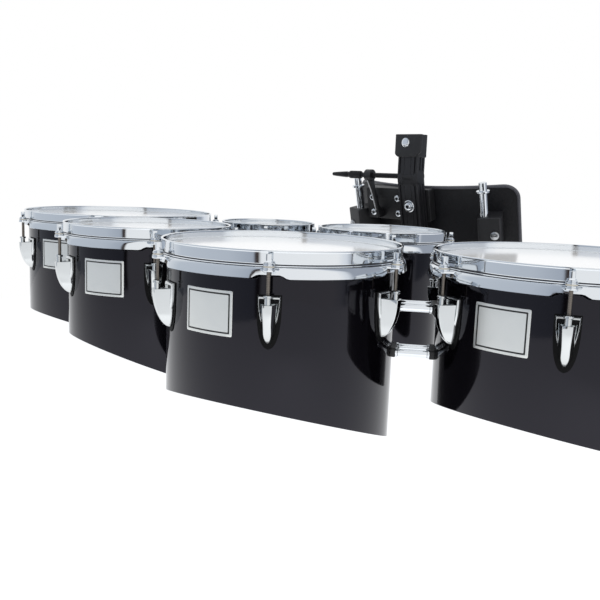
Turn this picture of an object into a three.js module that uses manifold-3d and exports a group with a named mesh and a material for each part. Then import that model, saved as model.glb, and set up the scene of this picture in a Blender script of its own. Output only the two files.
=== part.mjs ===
// Marching tenor drums: six single-headed drums on a tube rack, hung from a belly carrier.
// Units are millimetres. +X is the audience's right, +Y points at the player, +Z is up.
// Heights are measured from the top rims of the counterhoops, then moved to the mount.
import * as THREE from 'three';
import ManifoldModule from 'manifold-3d';

const wasm = await ManifoldModule();
wasm.setup();

// Units and shared clearances
const INCH = 25.4;
const SLIP = 0.3;
const BITE = 0.6;
const OVERRUN = 5;
const WELD_LENGTH = 1e-4;
const FULL_TURN = 2 * Math.PI;
const QUARTER_TURN = FULL_TURN / 4;

// Shells
const SHELL_WALL = 6.5;
const SHELL_TOP = -10.4;
const EDGE_BEVEL = 2.2;
const EDGE_INNER_DROP = 3;

// Centres of the drums: the swept row of four, then the small pair behind it
const OUTER_X = 478;
const INNER_X = 167;
const SMALL_X = 125;
const MIDDLE_X = 72;
const A_Y = 174;
const B_Y = 14;
const C_Y = -14;
const D_Y = 191;
const E_Y = 252;
const F_Y = 336;

// Depth of each drum to the middle of its mouth
const A_DEPTH = 251;
const B_DEPTH = 232;
const C_DEPTH = 240;
const D_DEPTH = 236;
const E_DEPTH = 180;
const F_DEPTH = 205;

// Each drum: nominal inches, lugs, wall facets per lug, and in degrees the first lug's bearing,
// how steeply the mouth is cut, and the bearing of the mouth's deepest side
const DRUMS = [
  {
    name: 'a', inches: 14, lugs: 7, facets: 4, bearing: -102.2,
    x: -OUTER_X, y: A_Y, depth: A_DEPTH, slant: 17.4, deepest: 80.5,
  },
  {
    name: 'b', inches: 10, lugs: 5, facets: 5, bearing: -104.8,
    x: -INNER_X, y: B_Y, depth: B_DEPTH, slant: 22.3, deepest: 74.7,
  },
  {
    name: 'c', inches: 12, lugs: 6, facets: 4, bearing: -111.3,
    x: INNER_X, y: C_Y, depth: C_DEPTH, slant: 18.8, deepest: 100.2,
  },
  {
    name: 'd', inches: 13, lugs: 7, facets: 4, bearing: -117.5,
    x: OUTER_X, y: D_Y, depth: D_DEPTH, slant: 16.3, deepest: 85.7,
  },
  {
    name: 'e', inches: 6, lugs: 4, facets: 5, bearing: 42,
    x: -SMALL_X, y: E_Y, depth: E_DEPTH, slant: 18, deepest: 90,
  },
  {
    name: 'f', inches: 8, lugs: 4, facets: 5, bearing: 45,
    x: MIDDLE_X, y: F_Y, depth: F_DEPTH, slant: 18, deepest: 90,
  },
];
const JOINED_LUGS_BELOW_INCHES = 9;

// Heads: film over the bearing edge, tucked into a flesh hoop
const FILM_DEPTH = 9;
const FILM_THICK = 1;
const FILM_SKIRT_IN = 0.5;
const FILM_SKIRT_OUT = 1.6;
const FILM_SHOULDER = 2;
const FLESH_WIDE = 6.4;
const FLESH_HIGH = 8;

// Counterhoops, measured outward from the shell's face
const HOOP_BAND_IN = 5.2;
const HOOP_BAND_OUT = 8.2;
const HOOP_LEDGE_IN = 2.6;
const HOOP_LEDGE_TOP = 14.9;
const HOOP_LEDGE = 17.1;
const HOOP_SKIRT_OUT = 14.2;
const HOOP_SKIRT_WALL = 2.4;
const HOOP_SKIRT_KNEE = 1.9;
const HOOP_DEEP = 30;
const NOTCH_WIDE = 34;
const NOTCH_TOP = 24.6;

// Tension rods and ears
const ROD_OUT = 18.4;
const ROD_RADIUS = 2.7;
const ROD_BOTTOM = 74;
const ROD_SIDES = 6;
const ROD_HEAD_WIDE = 6.6;
const ROD_HEAD_TOP = 1;
const ROD_HEAD_HIGH = 7;
const WASHER_RADIUS = 6;
const WASHER_SIDES = 6;
const WASHER_TOP = 15.8;
const EAR_RADIUS = 9.5;
const EAR_SIDES = 6;
const EAR_TOP = 20.8;
const EAR_THICK = 4.6;

// Lugs: one casting serves every drum, a shield-shaped flange with a fin standing on it
const LUG_TOP = 53.5;
const LUG_HALF_WIDE = 13.3;
const LUG_FLANGE = 4.4;
const LUG_FLANGE_HIGH = 42;
const LUG_FLANGE_SHARES = [1, 0.55, 0];
const LUG_FIN_TOP = 61;
const LUG_FIN_HIGH = 53;
const LUG_FIN_SHARES = [1, 0.82, 0.45, 0];
const LUG_REACH = 24.3;
const LUG_FIN_HALF = 6.2;
const LUG_TIP_HALF = 2.6;
const LUG_TIP_REACH = 3;
const INSERT_RADIUS = 4.4;
const COLLAR_RADIUS = 5.5;
const COLLAR_TOP = 50.3;
const COLLAR_HIGH = 3.4;
const COLLAR_SIDES = 6;
const ROD_PLAY = 0.4;
const BORE_SPARE = 2;
const LUG_BORE_RADIUS = ROD_RADIUS + ROD_PLAY;
const LUG_BORE_END = ROD_BOTTOM + BORE_SPARE;

// Tube rack: pairs of rails, one pair high and one pair low, between neighbouring shells
const RAIL_RADIUS = 4.8;
const RAIL_SIDES = 8;
const RAIL_HIGH = -79;
const RAIL_LOW = -139;
const RAIL_PAIR_GAP = 34;
const PAD_WIDE = 44;
const PAD_THICK = 7;
const PAD_MARGIN = 10;
const TOOL_SIDES = 48;
const BRIDGES = [['a', 'b'], ['b', 'c'], ['c', 'd'], ['b', 'e'], ['c', 'f']];
const REAR_RAIL_HIGH = -108;
const REAR_RAIL_LOW = -139;
const REAR_PADS = ['e', 'f'];

// Carrier: post, sleeve and tilt screw
const POST_Y = 515;
const POST_WIDE = 48;
const POST_THICK = 26;
const GROOVE_WIDE = 9;
const GROOVE_DEEP = 4;
const GROOVE_APART = 22;
const SLEEVE_WALL = 2.6;
const SLEEVE_FACE_HALF = 30;
const SLEEVE_FACE_THICK = 5;
const SLEEVE_TOP = 171;
const SLEEVE_BOTTOM = 128;
const SLEEVE_CAP = 5;
const SLEEVE_CHAMFER = 6;
const DOME_RADIUS = 8;
const DOME_HIGH = 5;
const DOME_X = -4;
const DOME_Z = 155;
const HINGE_Z = 91;
const HINGE_RADIUS = 13;
const HINGE_LIP = 7;
const TONGUE_WIDE = 20;
const HINGE_SIDES = 12;
const PIN_RADIUS = 5;
const PIN_SIDES = 10;
const PIN_LEFT = -122;
const KNURL_LEFT = -158;
const KNURL_RADIUS = 8;
const HANDLE_LEFT = -205;
const HANDLE_RADIUS = 6.5;
const HANDLE_TIP = 3;
const LEAN = 14 * Math.PI / 180;
const POST_FOOT = -46;

// Carrier: belly plate, its pad, and the bracket between plate and post
const PLATE_HALF_WIDE = 190;
const PLATE_BEHIND_POST = 30;
const PLATE_FRONT = POST_Y + PLATE_BEHIND_POST;
const PLATE_SAG = 49;
const PLATE_TOP = 66;
const PLATE_HIGH = 198;
const PLATE_THICK = 3.4;
const PLATE_TOP_CORNER = 18;
const PLATE_LOW_CORNER = 42;
const PLATE_STEPS = 12;
const PLATE_TOOL_SIDES = 96;
const CORNER_STEPS = 4;
const BELLY_PAD_THICK = 13;
const BELLY_PAD_INSET = 9;
const BELLY_PAD_GAP = 0.8;
const BRACKET_LEFT = -124;
const BRACKET_RIGHT = 30;
const BRACKET_TOP = 62;
const BRACKET_BOTTOM = -2;
const BOLT_RADIUS = 7;
const BOLT_HIGH = 5;
const BOLT_SIDES = 8;
const BOLT_XS = [-108, -46];
const BOLT_ZS = [42, 11];
const BIG_BOLT_RADIUS = 11;
const BIG_BOLT_HIGH = 8;
const BIG_BOLT_Z = 35;
const ARM_X = -105;
const ARM_WIDE = 12;
const ARM_THICK = 8;
const ARM_SLANT = 10 * Math.PI / 180;
const ARM_EYE_RADIUS = 11.5;
const ARM_BOTTOM = 4;

// Hook bars and what they slide and seat in
const BAR_X = 147;
const BAR_BEHIND_POST = 17;
const BAR_Y = POST_Y + BAR_BEHIND_POST;
const BAR_RADIUS = 7.6;
const BAR_SIDES = 10;
const BAR_TOP = 80;
const BAR_COLLAR_RADIUS = 12.5;
const BAR_COLLAR_TOP = 74;
const BAR_COLLAR_HIGH = 6;
const BAR_BEND_Z = -154;
const BAR_BEND_RADIUS = 38;
const BAR_BEND_STEPS = 4;
const BAR_HOOK_TOP = -100;
const HOOK_BEFORE_POST = 59;
const HOOK_Y = POST_Y - HOOK_BEFORE_POST;
const SOCKET_INSIDE_BAR = 12;
const SOCKET_OUTSIDE_BAR = 30;
const SOCKET_BEFORE_BAR = 12;
const SOCKET_BEHIND_BAR = 60;
const SOCKET_GAP = 1;
const SOCKET_TOP = 15;
const SOCKET_BOTTOM = -47;
const RIVET_RADIUS = 8.5;
const RIVET_HIGH = 4;
const RIVET_OUTSIDE_BAR = 20;
const RIVET_Z = -15;
const CUP_WALL = 5;
const CUP_CAP = 5;
const CUP_BOTTOM = -150;
const CUP_SIDES = 10;

// Colours
const BLACK_GLOSS = '#0b0b0d';
const BLACK_SATIN = '#17171a';
const BLACK_FOAM = '#1d1d1f';
const CHROME = '#d9dce0';
const FILM_WHITE = '#efede6';

const FINISH = {
  lacquer: { color: BLACK_GLOSS, roughness: 0.12, metalness: 0 },
  film: { color: FILM_WHITE, roughness: 0.35, metalness: 0 },
  chrome: { color: CHROME, roughness: 0.1, metalness: 1 },
  painted: { color: BLACK_SATIN, roughness: 0.4, metalness: 0.2 },
  foam: { color: BLACK_FOAM, roughness: 0.9, metalness: 0 },
};

// Mesh helpers
function meshOf(vertices, faces) {
  const geometry = new THREE.BufferGeometry();
  geometry.setAttribute('position', new THREE.Float32BufferAttribute(vertices.flat(), 3));
  geometry.setIndex(faces.flat());
  return geometry;
}

function weld(geometry) {
  const bare = geometry.clone();
  bare.deleteAttribute('normal');
  bare.deleteAttribute('uv');
  const seen = new Map();
  const positions = bare.getAttribute('position');
  const order = bare.index ? Array.from(bare.index.array) : [...Array(positions.count).keys()];
  const vertices = [];
  const remap = [];
  for (let i = 0; i < positions.count; i += 1) {
    const point = [positions.getX(i), positions.getY(i), positions.getZ(i)];
    const key = point.map((value) => Math.round(value / WELD_LENGTH)).join();
    if (!seen.has(key)) {
      seen.set(key, vertices.length);
      vertices.push(point);
    }
    remap.push(seen.get(key));
  }
  const faces = [];
  for (let i = 0; i < order.length; i += 3) {
    const face = [remap[order[i]], remap[order[i + 1]], remap[order[i + 2]]];
    if (new Set(face).size === 3) {
      faces.push(face);
    }
  }
  return meshOf(vertices, faces);
}

function solidOf(geometry) {
  const clean = weld(geometry);
  const vertProperties = new Float32Array(clean.getAttribute('position').array);
  const triVerts = new Uint32Array(clean.index.array);
  const mesh = new wasm.Mesh({ numProp: 3, vertProperties, triVerts });
  mesh.merge();
  return new wasm.Manifold(mesh);
}

function geometryOf(solid) {
  const mesh = solid.getMesh();
  const geometry = new THREE.BufferGeometry();
  geometry.setAttribute('position', new THREE.BufferAttribute(mesh.vertProperties, mesh.numProp));
  geometry.setIndex(new THREE.BufferAttribute(mesh.triVerts, 1));
  return weld(geometry);
}

function join(first, ...others) {
  let solid = solidOf(first);
  for (const other of others) {
    solid = solid.add(solidOf(other));
  }
  return geometryOf(solid);
}

function cut(body, ...tools) {
  let solid = solidOf(body);
  for (const tool of tools) {
    solid = solid.subtract(solidOf(tool));
  }
  return geometryOf(solid);
}

function keepInside(body, limit) {
  return geometryOf(solidOf(body).intersect(solidOf(limit)));
}

// Turns a closed profile of [radius, height] pairs about Z; reshape may move single points
function spin(profile, segments, reshape = (x, y, z) => z) {
  const vertices = [];
  const faces = [];
  const rings = profile.map(([radius, height]) => {
    const onAxis = radius === 0;
    const ring = [];
    for (let step = 0; step < (onAxis ? 1 : segments); step += 1) {
      const angle = FULL_TURN * step / segments;
      const x = radius * Math.cos(angle);
      const y = radius * Math.sin(angle);
      ring.push(vertices.length);
      vertices.push([x, y, reshape(x, y, height)]);
    }
    return ring;
  });
  const at = (ring, step) => ring[step % ring.length];
  for (let i = 0; i < rings.length; i += 1) {
    const here = rings[i];
    const next = rings[(i + 1) % rings.length];
    if (here.length === 1 && next.length === 1) {
      continue;
    }
    for (let step = 0; step < segments; step += 1) {
      if (here.length > 1) {
        faces.push([at(here, step), at(here, step + 1), at(next, step)]);
      }
      if (next.length > 1) {
        faces.push([at(here, step + 1), at(next, step + 1), at(next, step)]);
      }
    }
  }
  return meshOf(vertices, faces);
}

// A closed bar along Z whose radius may differ at its ends
function bar(bottom, top, radius, sides, topRadius = radius) {
  return spin([[0, bottom], [radius, bottom], [topRadius, top], [0, top]], sides);
}

function block(xMin, xMax, yMin, yMax, zMin, zMax) {
  const geometry = new THREE.BoxGeometry(xMax - xMin, yMax - yMin, zMax - zMin);
  geometry.translate((xMin + xMax) / 2, (yMin + yMax) / 2, (zMin + zMax) / 2);
  return geometry;
}

// Sections are lists of [x, y, z], each with the same number of points, from bottom to top
function loft(sections, capOutline) {
  const count = sections[0].length;
  const vertices = sections.flat();
  const faces = [];
  for (let level = 0; level + 1 < sections.length; level += 1) {
    for (let i = 0; i < count; i += 1) {
      const next = (i + 1) % count;
      const low = level * count;
      const high = low + count;
      faces.push([low + i, low + next, high + i]);
      faces.push([low + next, high + next, high + i]);
    }
  }
  const last = (sections.length - 1) * count;
  const bottomOutline = capOutline(sections[0]);
  const topOutline = capOutline(sections[sections.length - 1]);
  for (const [a, b, c] of THREE.ShapeUtils.triangulateShape(bottomOutline, [])) {
    faces.push([a, c, b]);
  }
  for (const [a, b, c] of THREE.ShapeUtils.triangulateShape(topOutline, [])) {
    faces.push([last + a, last + b, last + c]);
  }
  return meshOf(vertices, faces);
}

function flatOutline(section) {
  return section.map(([x, y]) => new THREE.Vector2(x, y));
}

// A bar lying along X
function barAlongX(xMin, xMax, y, z, radius, sides, endRadius = radius) {
  const geometry = bar(xMin, xMax, radius, sides, endRadius);
  geometry.rotateY(QUARTER_TURN);
  geometry.translate(0, y, z);
  return geometry;
}

// Driving shapes of one drum
function radiusOf(drum) {
  return drum.inches * INCH / 2;
}

function facetsOf(drum) {
  return drum.lugs * drum.facets;
}

function drumNamed(name) {
  return DRUMS.find((drum) => drum.name === name);
}

// Turns a piece so that facet corners meet the lugs, then moves it to its drum
function seat(geometry, drum) {
  geometry.rotateZ(THREE.MathUtils.degToRad(drum.bearing));
  geometry.translate(drum.x, drum.y, 0);
  return geometry;
}

// Calls make(angle) for each lug, counted from the drum's first lug
function aroundLugs(drum, make) {
  return Array.from({ length: drum.lugs }, (_, i) => make(FULL_TURN * i / drum.lugs));
}

function shellGeometry(drum) {
  const radius = radiusOf(drum);
  const inner = radius - SHELL_WALL;
  const mouth = -drum.depth;
  const profile = [
    [radius, mouth],
    [radius, SHELL_TOP - EDGE_BEVEL],
    [radius - EDGE_BEVEL, SHELL_TOP],
    [inner, SHELL_TOP - EDGE_INNER_DROP],
    [inner, mouth],
  ];
  const slope = Math.tan(THREE.MathUtils.degToRad(drum.slant));
  const turn = THREE.MathUtils.degToRad(drum.deepest - drum.bearing);
  const towardDeepest = (x, y) => x * Math.cos(turn) + y * Math.sin(turn);
  const shell = spin(profile, facetsOf(drum), (x, y, z) => (
    z === mouth ? z - towardDeepest(x, y) * slope : z
  ));
  if (drum.inches > JOINED_LUGS_BELOW_INCHES) {
    return shell;
  }
  const sunk = SLIP + BITE;
  return join(shell, ...aroundLugs(drum, (angle) => lugGeometry(radius + SLIP, angle, sunk)));
}

function headGeometry(drum) {
  const radius = radiusOf(drum);
  const skirtOut = radius + FILM_SKIRT_OUT;
  const skirtIn = radius + FILM_SKIRT_IN;
  const fleshTop = -HOOP_LEDGE - SLIP;
  const fleshBottom = fleshTop - FLESH_HIGH;
  const fleshOut = skirtOut + FLESH_WIDE;
  const profile = [
    [0, -FILM_DEPTH - FILM_THICK],
    [radius - EDGE_BEVEL + SLIP, -FILM_DEPTH - FILM_THICK],
    [skirtIn, SHELL_TOP - EDGE_BEVEL + SLIP],
    [skirtIn, fleshBottom],
    [fleshOut, fleshBottom],
    [fleshOut, fleshTop],
    [skirtOut, fleshTop],
    [skirtOut, -FILM_DEPTH - FILM_SHOULDER],
    [radius - FILM_SHOULDER / 2, -FILM_DEPTH],
    [0, -FILM_DEPTH],
  ];
  return spin(profile, facetsOf(drum));
}

function rodGeometry() {
  const half = ROD_HEAD_WIDE / 2;
  const headBottom = -ROD_HEAD_TOP - ROD_HEAD_HIGH;
  const shaft = bar(-ROD_BOTTOM, headBottom + BITE, ROD_RADIUS, ROD_SIDES);
  const head = block(-half, half, -half, half, headBottom, -ROD_HEAD_TOP);
  const washer = bar(-EAR_TOP - BITE, -WASHER_TOP, WASHER_RADIUS, WASHER_SIDES);
  const ear = bar(-EAR_TOP - EAR_THICK, -EAR_TOP, EAR_RADIUS, EAR_SIDES);
  return join(shaft, head, washer, ear);
}

// A counterhoop with its ears, and with the tension rods that stay in them
function hoopGeometry(drum) {
  const radius = radiusOf(drum);
  const bandIn = radius + HOOP_BAND_IN;
  const bandOut = radius + HOOP_BAND_OUT;
  const skirtOut = radius + HOOP_SKIRT_OUT;
  const ledgeIn = radius + HOOP_LEDGE_IN;
  const profile = [
    [bandIn, -HOOP_LEDGE_TOP],
    [ledgeIn, -HOOP_LEDGE_TOP],
    [ledgeIn, -HOOP_LEDGE],
    [bandOut + HOOP_SKIRT_KNEE / 2, -HOOP_LEDGE],
    [skirtOut - HOOP_SKIRT_WALL, -HOOP_DEEP],
    [skirtOut, -HOOP_DEEP],
    [bandOut + HOOP_SKIRT_KNEE, -HOOP_LEDGE],
    [bandOut, -HOOP_LEDGE_TOP],
    [bandOut, 0],
    [bandIn, 0],
  ];
  const ring = spin(profile, facetsOf(drum));
  const half = NOTCH_WIDE / 2;
  const notches = aroundLugs(drum, (angle) => (
    block(bandOut, skirtOut + OVERRUN, -half, half, -HOOP_DEEP - OVERRUN, -NOTCH_TOP).rotateZ(angle)
  ));
  const rods = aroundLugs(drum, (angle) => (
    rodGeometry().translate(radius + ROD_OUT, 0, 0).rotateZ(angle)
  ));
  return join(cut(ring, ...notches), ...rods);
}

// One lug at the given distance from the drum's axis; sunk carries its back into the shell
function lugGeometry(backRadius, angle, sunk = 0) {
  const slice = (reach, half, z) => (
    [[-sunk, -half, z], [reach, -half, z], [reach, half, z], [-sunk, half, z]]
  );
  const flange = LUG_FLANGE_SHARES.map((share) => {
    const half = THREE.MathUtils.lerp(LUG_HALF_WIDE, LUG_TIP_HALF, share * share);
    return slice(LUG_FLANGE, half, -LUG_TOP - LUG_FLANGE_HIGH * share);
  });
  const fin = LUG_FIN_SHARES.map((share) => {
    const curve = Math.sqrt(1 - share * share);
    const reach = THREE.MathUtils.lerp(LUG_TIP_REACH, LUG_REACH, curve);
    const half = THREE.MathUtils.lerp(LUG_FIN_HALF, LUG_TIP_HALF, share ** 3);
    return slice(reach, half, -LUG_FIN_TOP - LUG_FIN_HIGH * share);
  });
  const collarBottom = -COLLAR_TOP - COLLAR_HIGH;
  const collar = bar(collarBottom, -COLLAR_TOP, COLLAR_RADIUS, COLLAR_SIDES);
  const insert = bar(-LUG_FIN_TOP - BITE, collarBottom + BITE, INSERT_RADIUS, COLLAR_SIDES);
  const bore = bar(-LUG_BORE_END, -COLLAR_TOP + OVERRUN, LUG_BORE_RADIUS, COLLAR_SIDES);
  for (const piece of [collar, insert, bore]) {
    piece.translate(ROD_OUT, 0, 0);
  }
  const body = join(loft(flange, flatOutline), loft(fin, flatOutline), insert, collar);
  return cut(body, bore).translate(backRadius, 0, 0).rotateZ(angle);
}

// The space that a shell takes, with slip, for cutting pads to its curve
function shellTool(drum, distance) {
  const flatsToCorners = 1 / Math.cos(FULL_TURN / TOOL_SIDES / 2);
  const radius = (radiusOf(drum) + SLIP) * flatsToCorners;
  return bar(-drum.depth - OVERRUN, 0, radius, TOOL_SIDES).translate(distance, 0, 0);
}

function padAlongX(xMin, xMax, high, low) {
  const half = PAD_WIDE / 2;
  return block(xMin, xMax, -half, half, low - PAD_MARGIN, high + PAD_MARGIN);
}

// Two pairs of rails between two shells, each pair ending in a curved pad
function bridgeGeometry(from, to) {
  const apart = Math.hypot(to.x - from.x, to.y - from.y);
  const nearFace = radiusOf(from) + SLIP;
  const farFace = apart - radiusOf(to) - SLIP;
  const rails = [];
  for (const z of [RAIL_HIGH, RAIL_LOW]) {
    for (const side of [-1, 1]) {
      const y = side * RAIL_PAIR_GAP / 2;
      const xMin = nearFace + PAD_THICK / 2;
      const xMax = farFace - PAD_THICK / 2;
      rails.push(barAlongX(xMin, xMax, y, z, RAIL_RADIUS, RAIL_SIDES));
    }
  }
  const nearPad = padAlongX(nearFace - OVERRUN, nearFace + PAD_THICK, RAIL_HIGH, RAIL_LOW);
  const farPad = padAlongX(farFace - PAD_THICK, farFace + OVERRUN, RAIL_HIGH, RAIL_LOW);
  const bridge = cut(join(nearPad, farPad, ...rails), shellTool(from, 0), shellTool(to, apart));
  bridge.rotateZ(Math.atan2(to.y - from.y, to.x - from.x));
  return bridge.translate(from.x, from.y, 0);
}

// Cross rails behind the small drums, with the cups that hang on the hook bars
function rearRackGeometry() {
  const pieces = [];
  for (const z of [REAR_RAIL_HIGH, REAR_RAIL_LOW]) {
    pieces.push(barAlongX(-BAR_X, BAR_X, HOOK_Y, z, RAIL_RADIUS, RAIL_SIDES));
  }
  const tools = [];
  for (const name of REAR_PADS) {
    const drum = drumNamed(name);
    const face = radiusOf(drum) + SLIP;
    const reach = HOOK_Y - drum.y;
    const thick = Math.min(PAD_THICK, reach - face);
    const pad = padAlongX(face - OVERRUN, face + thick, REAR_RAIL_HIGH, REAR_RAIL_LOW);
    const arms = [];
    for (const z of [REAR_RAIL_HIGH, REAR_RAIL_LOW]) {
      for (const side of [-1, 1]) {
        const y = side * RAIL_PAIR_GAP / 2;
        arms.push(barAlongX(face + thick / 2, reach, y, z, RAIL_RADIUS - SLIP, RAIL_SIDES));
      }
    }
    const mount = cut(join(pad, ...arms), shellTool(drum, 0));
    pieces.push(mount.rotateZ(QUARTER_TURN).translate(drum.x, drum.y, 0));
  }
  const boreTop = BAR_HOOK_TOP + SLIP;
  for (const side of [-1, 1]) {
    const outer = boreRadius(BAR_RADIUS) + CUP_WALL;
    const cup = bar(CUP_BOTTOM, boreTop + CUP_CAP, outer, CUP_SIDES);
    const bore = bar(CUP_BOTTOM - OVERRUN, boreTop, boreRadius(BAR_RADIUS), CUP_SIDES);
    pieces.push(cup.translate(side * BAR_X, HOOK_Y, 0));
    tools.push(bore.translate(side * BAR_X, HOOK_Y, 0));
  }
  return cut(join(...pieces), ...tools);
}

// Corner radius of a faceted bore that clears a bar all round
function boreRadius(radius) {
  return (radius + SLIP) / Math.cos(FULL_TURN / CUP_SIDES / 2);
}

// A dome or pan head on a face that looks at the audience
function domeOnFront(x, y, z, radius, high) {
  const dome = spin([[0, -BITE], [radius, -BITE], [radius, high / 2], [0, high]], BOLT_SIDES);
  dome.rotateX(QUARTER_TURN);
  return dome.translate(x, y, z);
}

function sleeveGeometry() {
  const halfWide = POST_WIDE / 2 + SLIP;
  const halfThick = POST_THICK / 2 + SLIP;
  const outerX = halfWide + SLEEVE_WALL;
  const front = POST_Y - halfThick - SLEEVE_FACE_THICK;
  const back = POST_Y + halfThick + SLEEVE_WALL;
  const body = block(-outerX, outerX, front, back, SLEEVE_BOTTOM, SLEEVE_TOP);
  const face = block(-SLEEVE_FACE_HALF, SLEEVE_FACE_HALF, front, front + SLEEVE_FACE_THICK,
    SLEEVE_BOTTOM, SLEEVE_TOP);
  const roomTop = SLEEVE_TOP - SLEEVE_CAP;
  const room = block(-halfWide, halfWide, POST_Y - halfThick, POST_Y + halfThick,
    SLEEVE_BOTTOM - OVERRUN, roomTop);
  const bolt = domeOnFront(DOME_X, front, DOME_Z, DOME_RADIUS, DOME_HIGH);
  const corners = [-1, 1].map((side) => {
    const corner = block(-SLEEVE_CHAMFER, SLEEVE_CHAMFER, front - OVERRUN, back + OVERRUN,
      -SLEEVE_CHAMFER, SLEEVE_CHAMFER);
    return corner.rotateY(QUARTER_TURN / 2).translate(side * SLEEVE_FACE_HALF, 0, SLEEVE_BOTTOM);
  });
  return cut(join(body, face, bolt), room, ...corners);
}

function grooves(bottom, top) {
  const front = POST_Y - POST_THICK / 2;
  return [-1, 1].map((side) => {
    const x = side * GROOVE_APART / 2;
    return block(x - GROOVE_WIDE / 2, x + GROOVE_WIDE / 2, front - OVERRUN, front + GROOVE_DEEP,
      bottom - OVERRUN, top + OVERRUN);
  });
}

function pinHole(reach) {
  const radius = (PIN_RADIUS + SLIP) / Math.cos(FULL_TURN / PIN_SIDES / 2);
  return barAlongX(-reach, reach, POST_Y, HINGE_Z, radius, PIN_SIDES);
}

function upperPostGeometry() {
  const half = POST_WIDE / 2;
  const front = POST_Y - POST_THICK / 2;
  const back = POST_Y + POST_THICK / 2;
  const shoulder = HINGE_Z + HINGE_RADIUS + SLIP;
  const lip = HINGE_Z + HINGE_LIP;
  const top = SLEEVE_TOP - SLEEVE_CAP - SLIP;
  const tongueHalf = TONGUE_WIDE / 2;
  const room = (HINGE_RADIUS + SLIP) / Math.cos(FULL_TURN / HINGE_SIDES / 2);
  const knuckleRoom = barAlongX(-half - OVERRUN, half + OVERRUN, POST_Y, HINGE_Z, room, HINGE_SIDES);
  const post = cut(block(-half, half, front, back, lip, top), ...grooves(lip, top), knuckleRoom);
  const tongue = block(-tongueHalf, tongueHalf, front, back, HINGE_Z, shoulder + BITE);
  const eye = barAlongX(-tongueHalf, tongueHalf, POST_Y, HINGE_Z, HINGE_RADIUS, HINGE_SIDES);
  return cut(join(post, tongue, eye), pinHole(POST_WIDE));
}

// Moves a piece of the belly unit from upright to its leaning rest place
function leanBack(geometry) {
  geometry.translate(0, -POST_Y, -HINGE_Z);
  geometry.rotateX(LEAN);
  return geometry.translate(0, POST_Y, HINGE_Z);
}

function lowerPostGeometry() {
  const half = POST_WIDE / 2;
  const gapHalf = TONGUE_WIDE / 2 + SLIP;
  const front = POST_Y - POST_THICK / 2;
  const back = POST_Y + POST_THICK / 2;
  const crotch = HINGE_Z - HINGE_RADIUS - SLIP;
  const body = cut(block(-half, half, front, back, POST_FOOT, crotch), ...grooves(POST_FOOT, crotch));
  const pieces = [];
  for (const side of [-1, 1]) {
    const xMin = side < 0 ? -half : gapHalf;
    const xMax = side < 0 ? -gapHalf : half;
    pieces.push(block(xMin, xMax, front, back, crotch - BITE, HINGE_Z));
    pieces.push(barAlongX(xMin, xMax, POST_Y, HINGE_Z, HINGE_RADIUS, HINGE_SIDES));
  }
  const washer = domeOnFront(0, front, BIG_BOLT_Z, BIG_BOLT_RADIUS, BIG_BOLT_HIGH / 2);
  const bolt = domeOnFront(0, front, BIG_BOLT_Z, BOLT_RADIUS, BIG_BOLT_HIGH);
  const boltSeat = block(-BIG_BOLT_RADIUS, BIG_BOLT_RADIUS, front, POST_Y,
    BIG_BOLT_Z - BIG_BOLT_RADIUS, BIG_BOLT_Z + BIG_BOLT_RADIUS);
  return leanBack(cut(join(body, boltSeat, ...pieces, washer, bolt), pinHole(POST_WIDE)));
}

function tiltScrewGeometry() {
  const tip = POST_WIDE / 2;
  const profile = [
    [0, HANDLE_LEFT],
    [HANDLE_TIP, HANDLE_LEFT],
    [HANDLE_RADIUS, HANDLE_LEFT + 2 * HANDLE_TIP],
    [HANDLE_RADIUS, KNURL_LEFT],
    [KNURL_RADIUS, KNURL_LEFT],
    [KNURL_RADIUS, PIN_LEFT],
    [PIN_RADIUS, PIN_LEFT],
    [PIN_RADIUS, tip - 2 * PIN_RADIUS],
    [0, tip],
  ];
  const screw = spin(profile, PIN_SIDES);
  screw.rotateY(QUARTER_TURN);
  return screw.translate(0, POST_Y, HINGE_Z);
}

// The space behind the belly plate's front face, for cutting what bolts on to it
function plateSpace() {
  const radius = plateRadius() + SLIP;
  const corners = radius / Math.cos(FULL_TURN / PLATE_TOOL_SIDES / 2);
  const reach = PLATE_HIGH + PLATE_TOP;
  const space = bar(-reach, reach, corners, PLATE_TOOL_SIDES);
  return leanBack(space.translate(0, PLATE_FRONT + plateRadius(), 0));
}

function plateRadius() {
  return (PLATE_HALF_WIDE ** 2 + PLATE_SAG ** 2) / (2 * PLATE_SAG);
}

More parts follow.
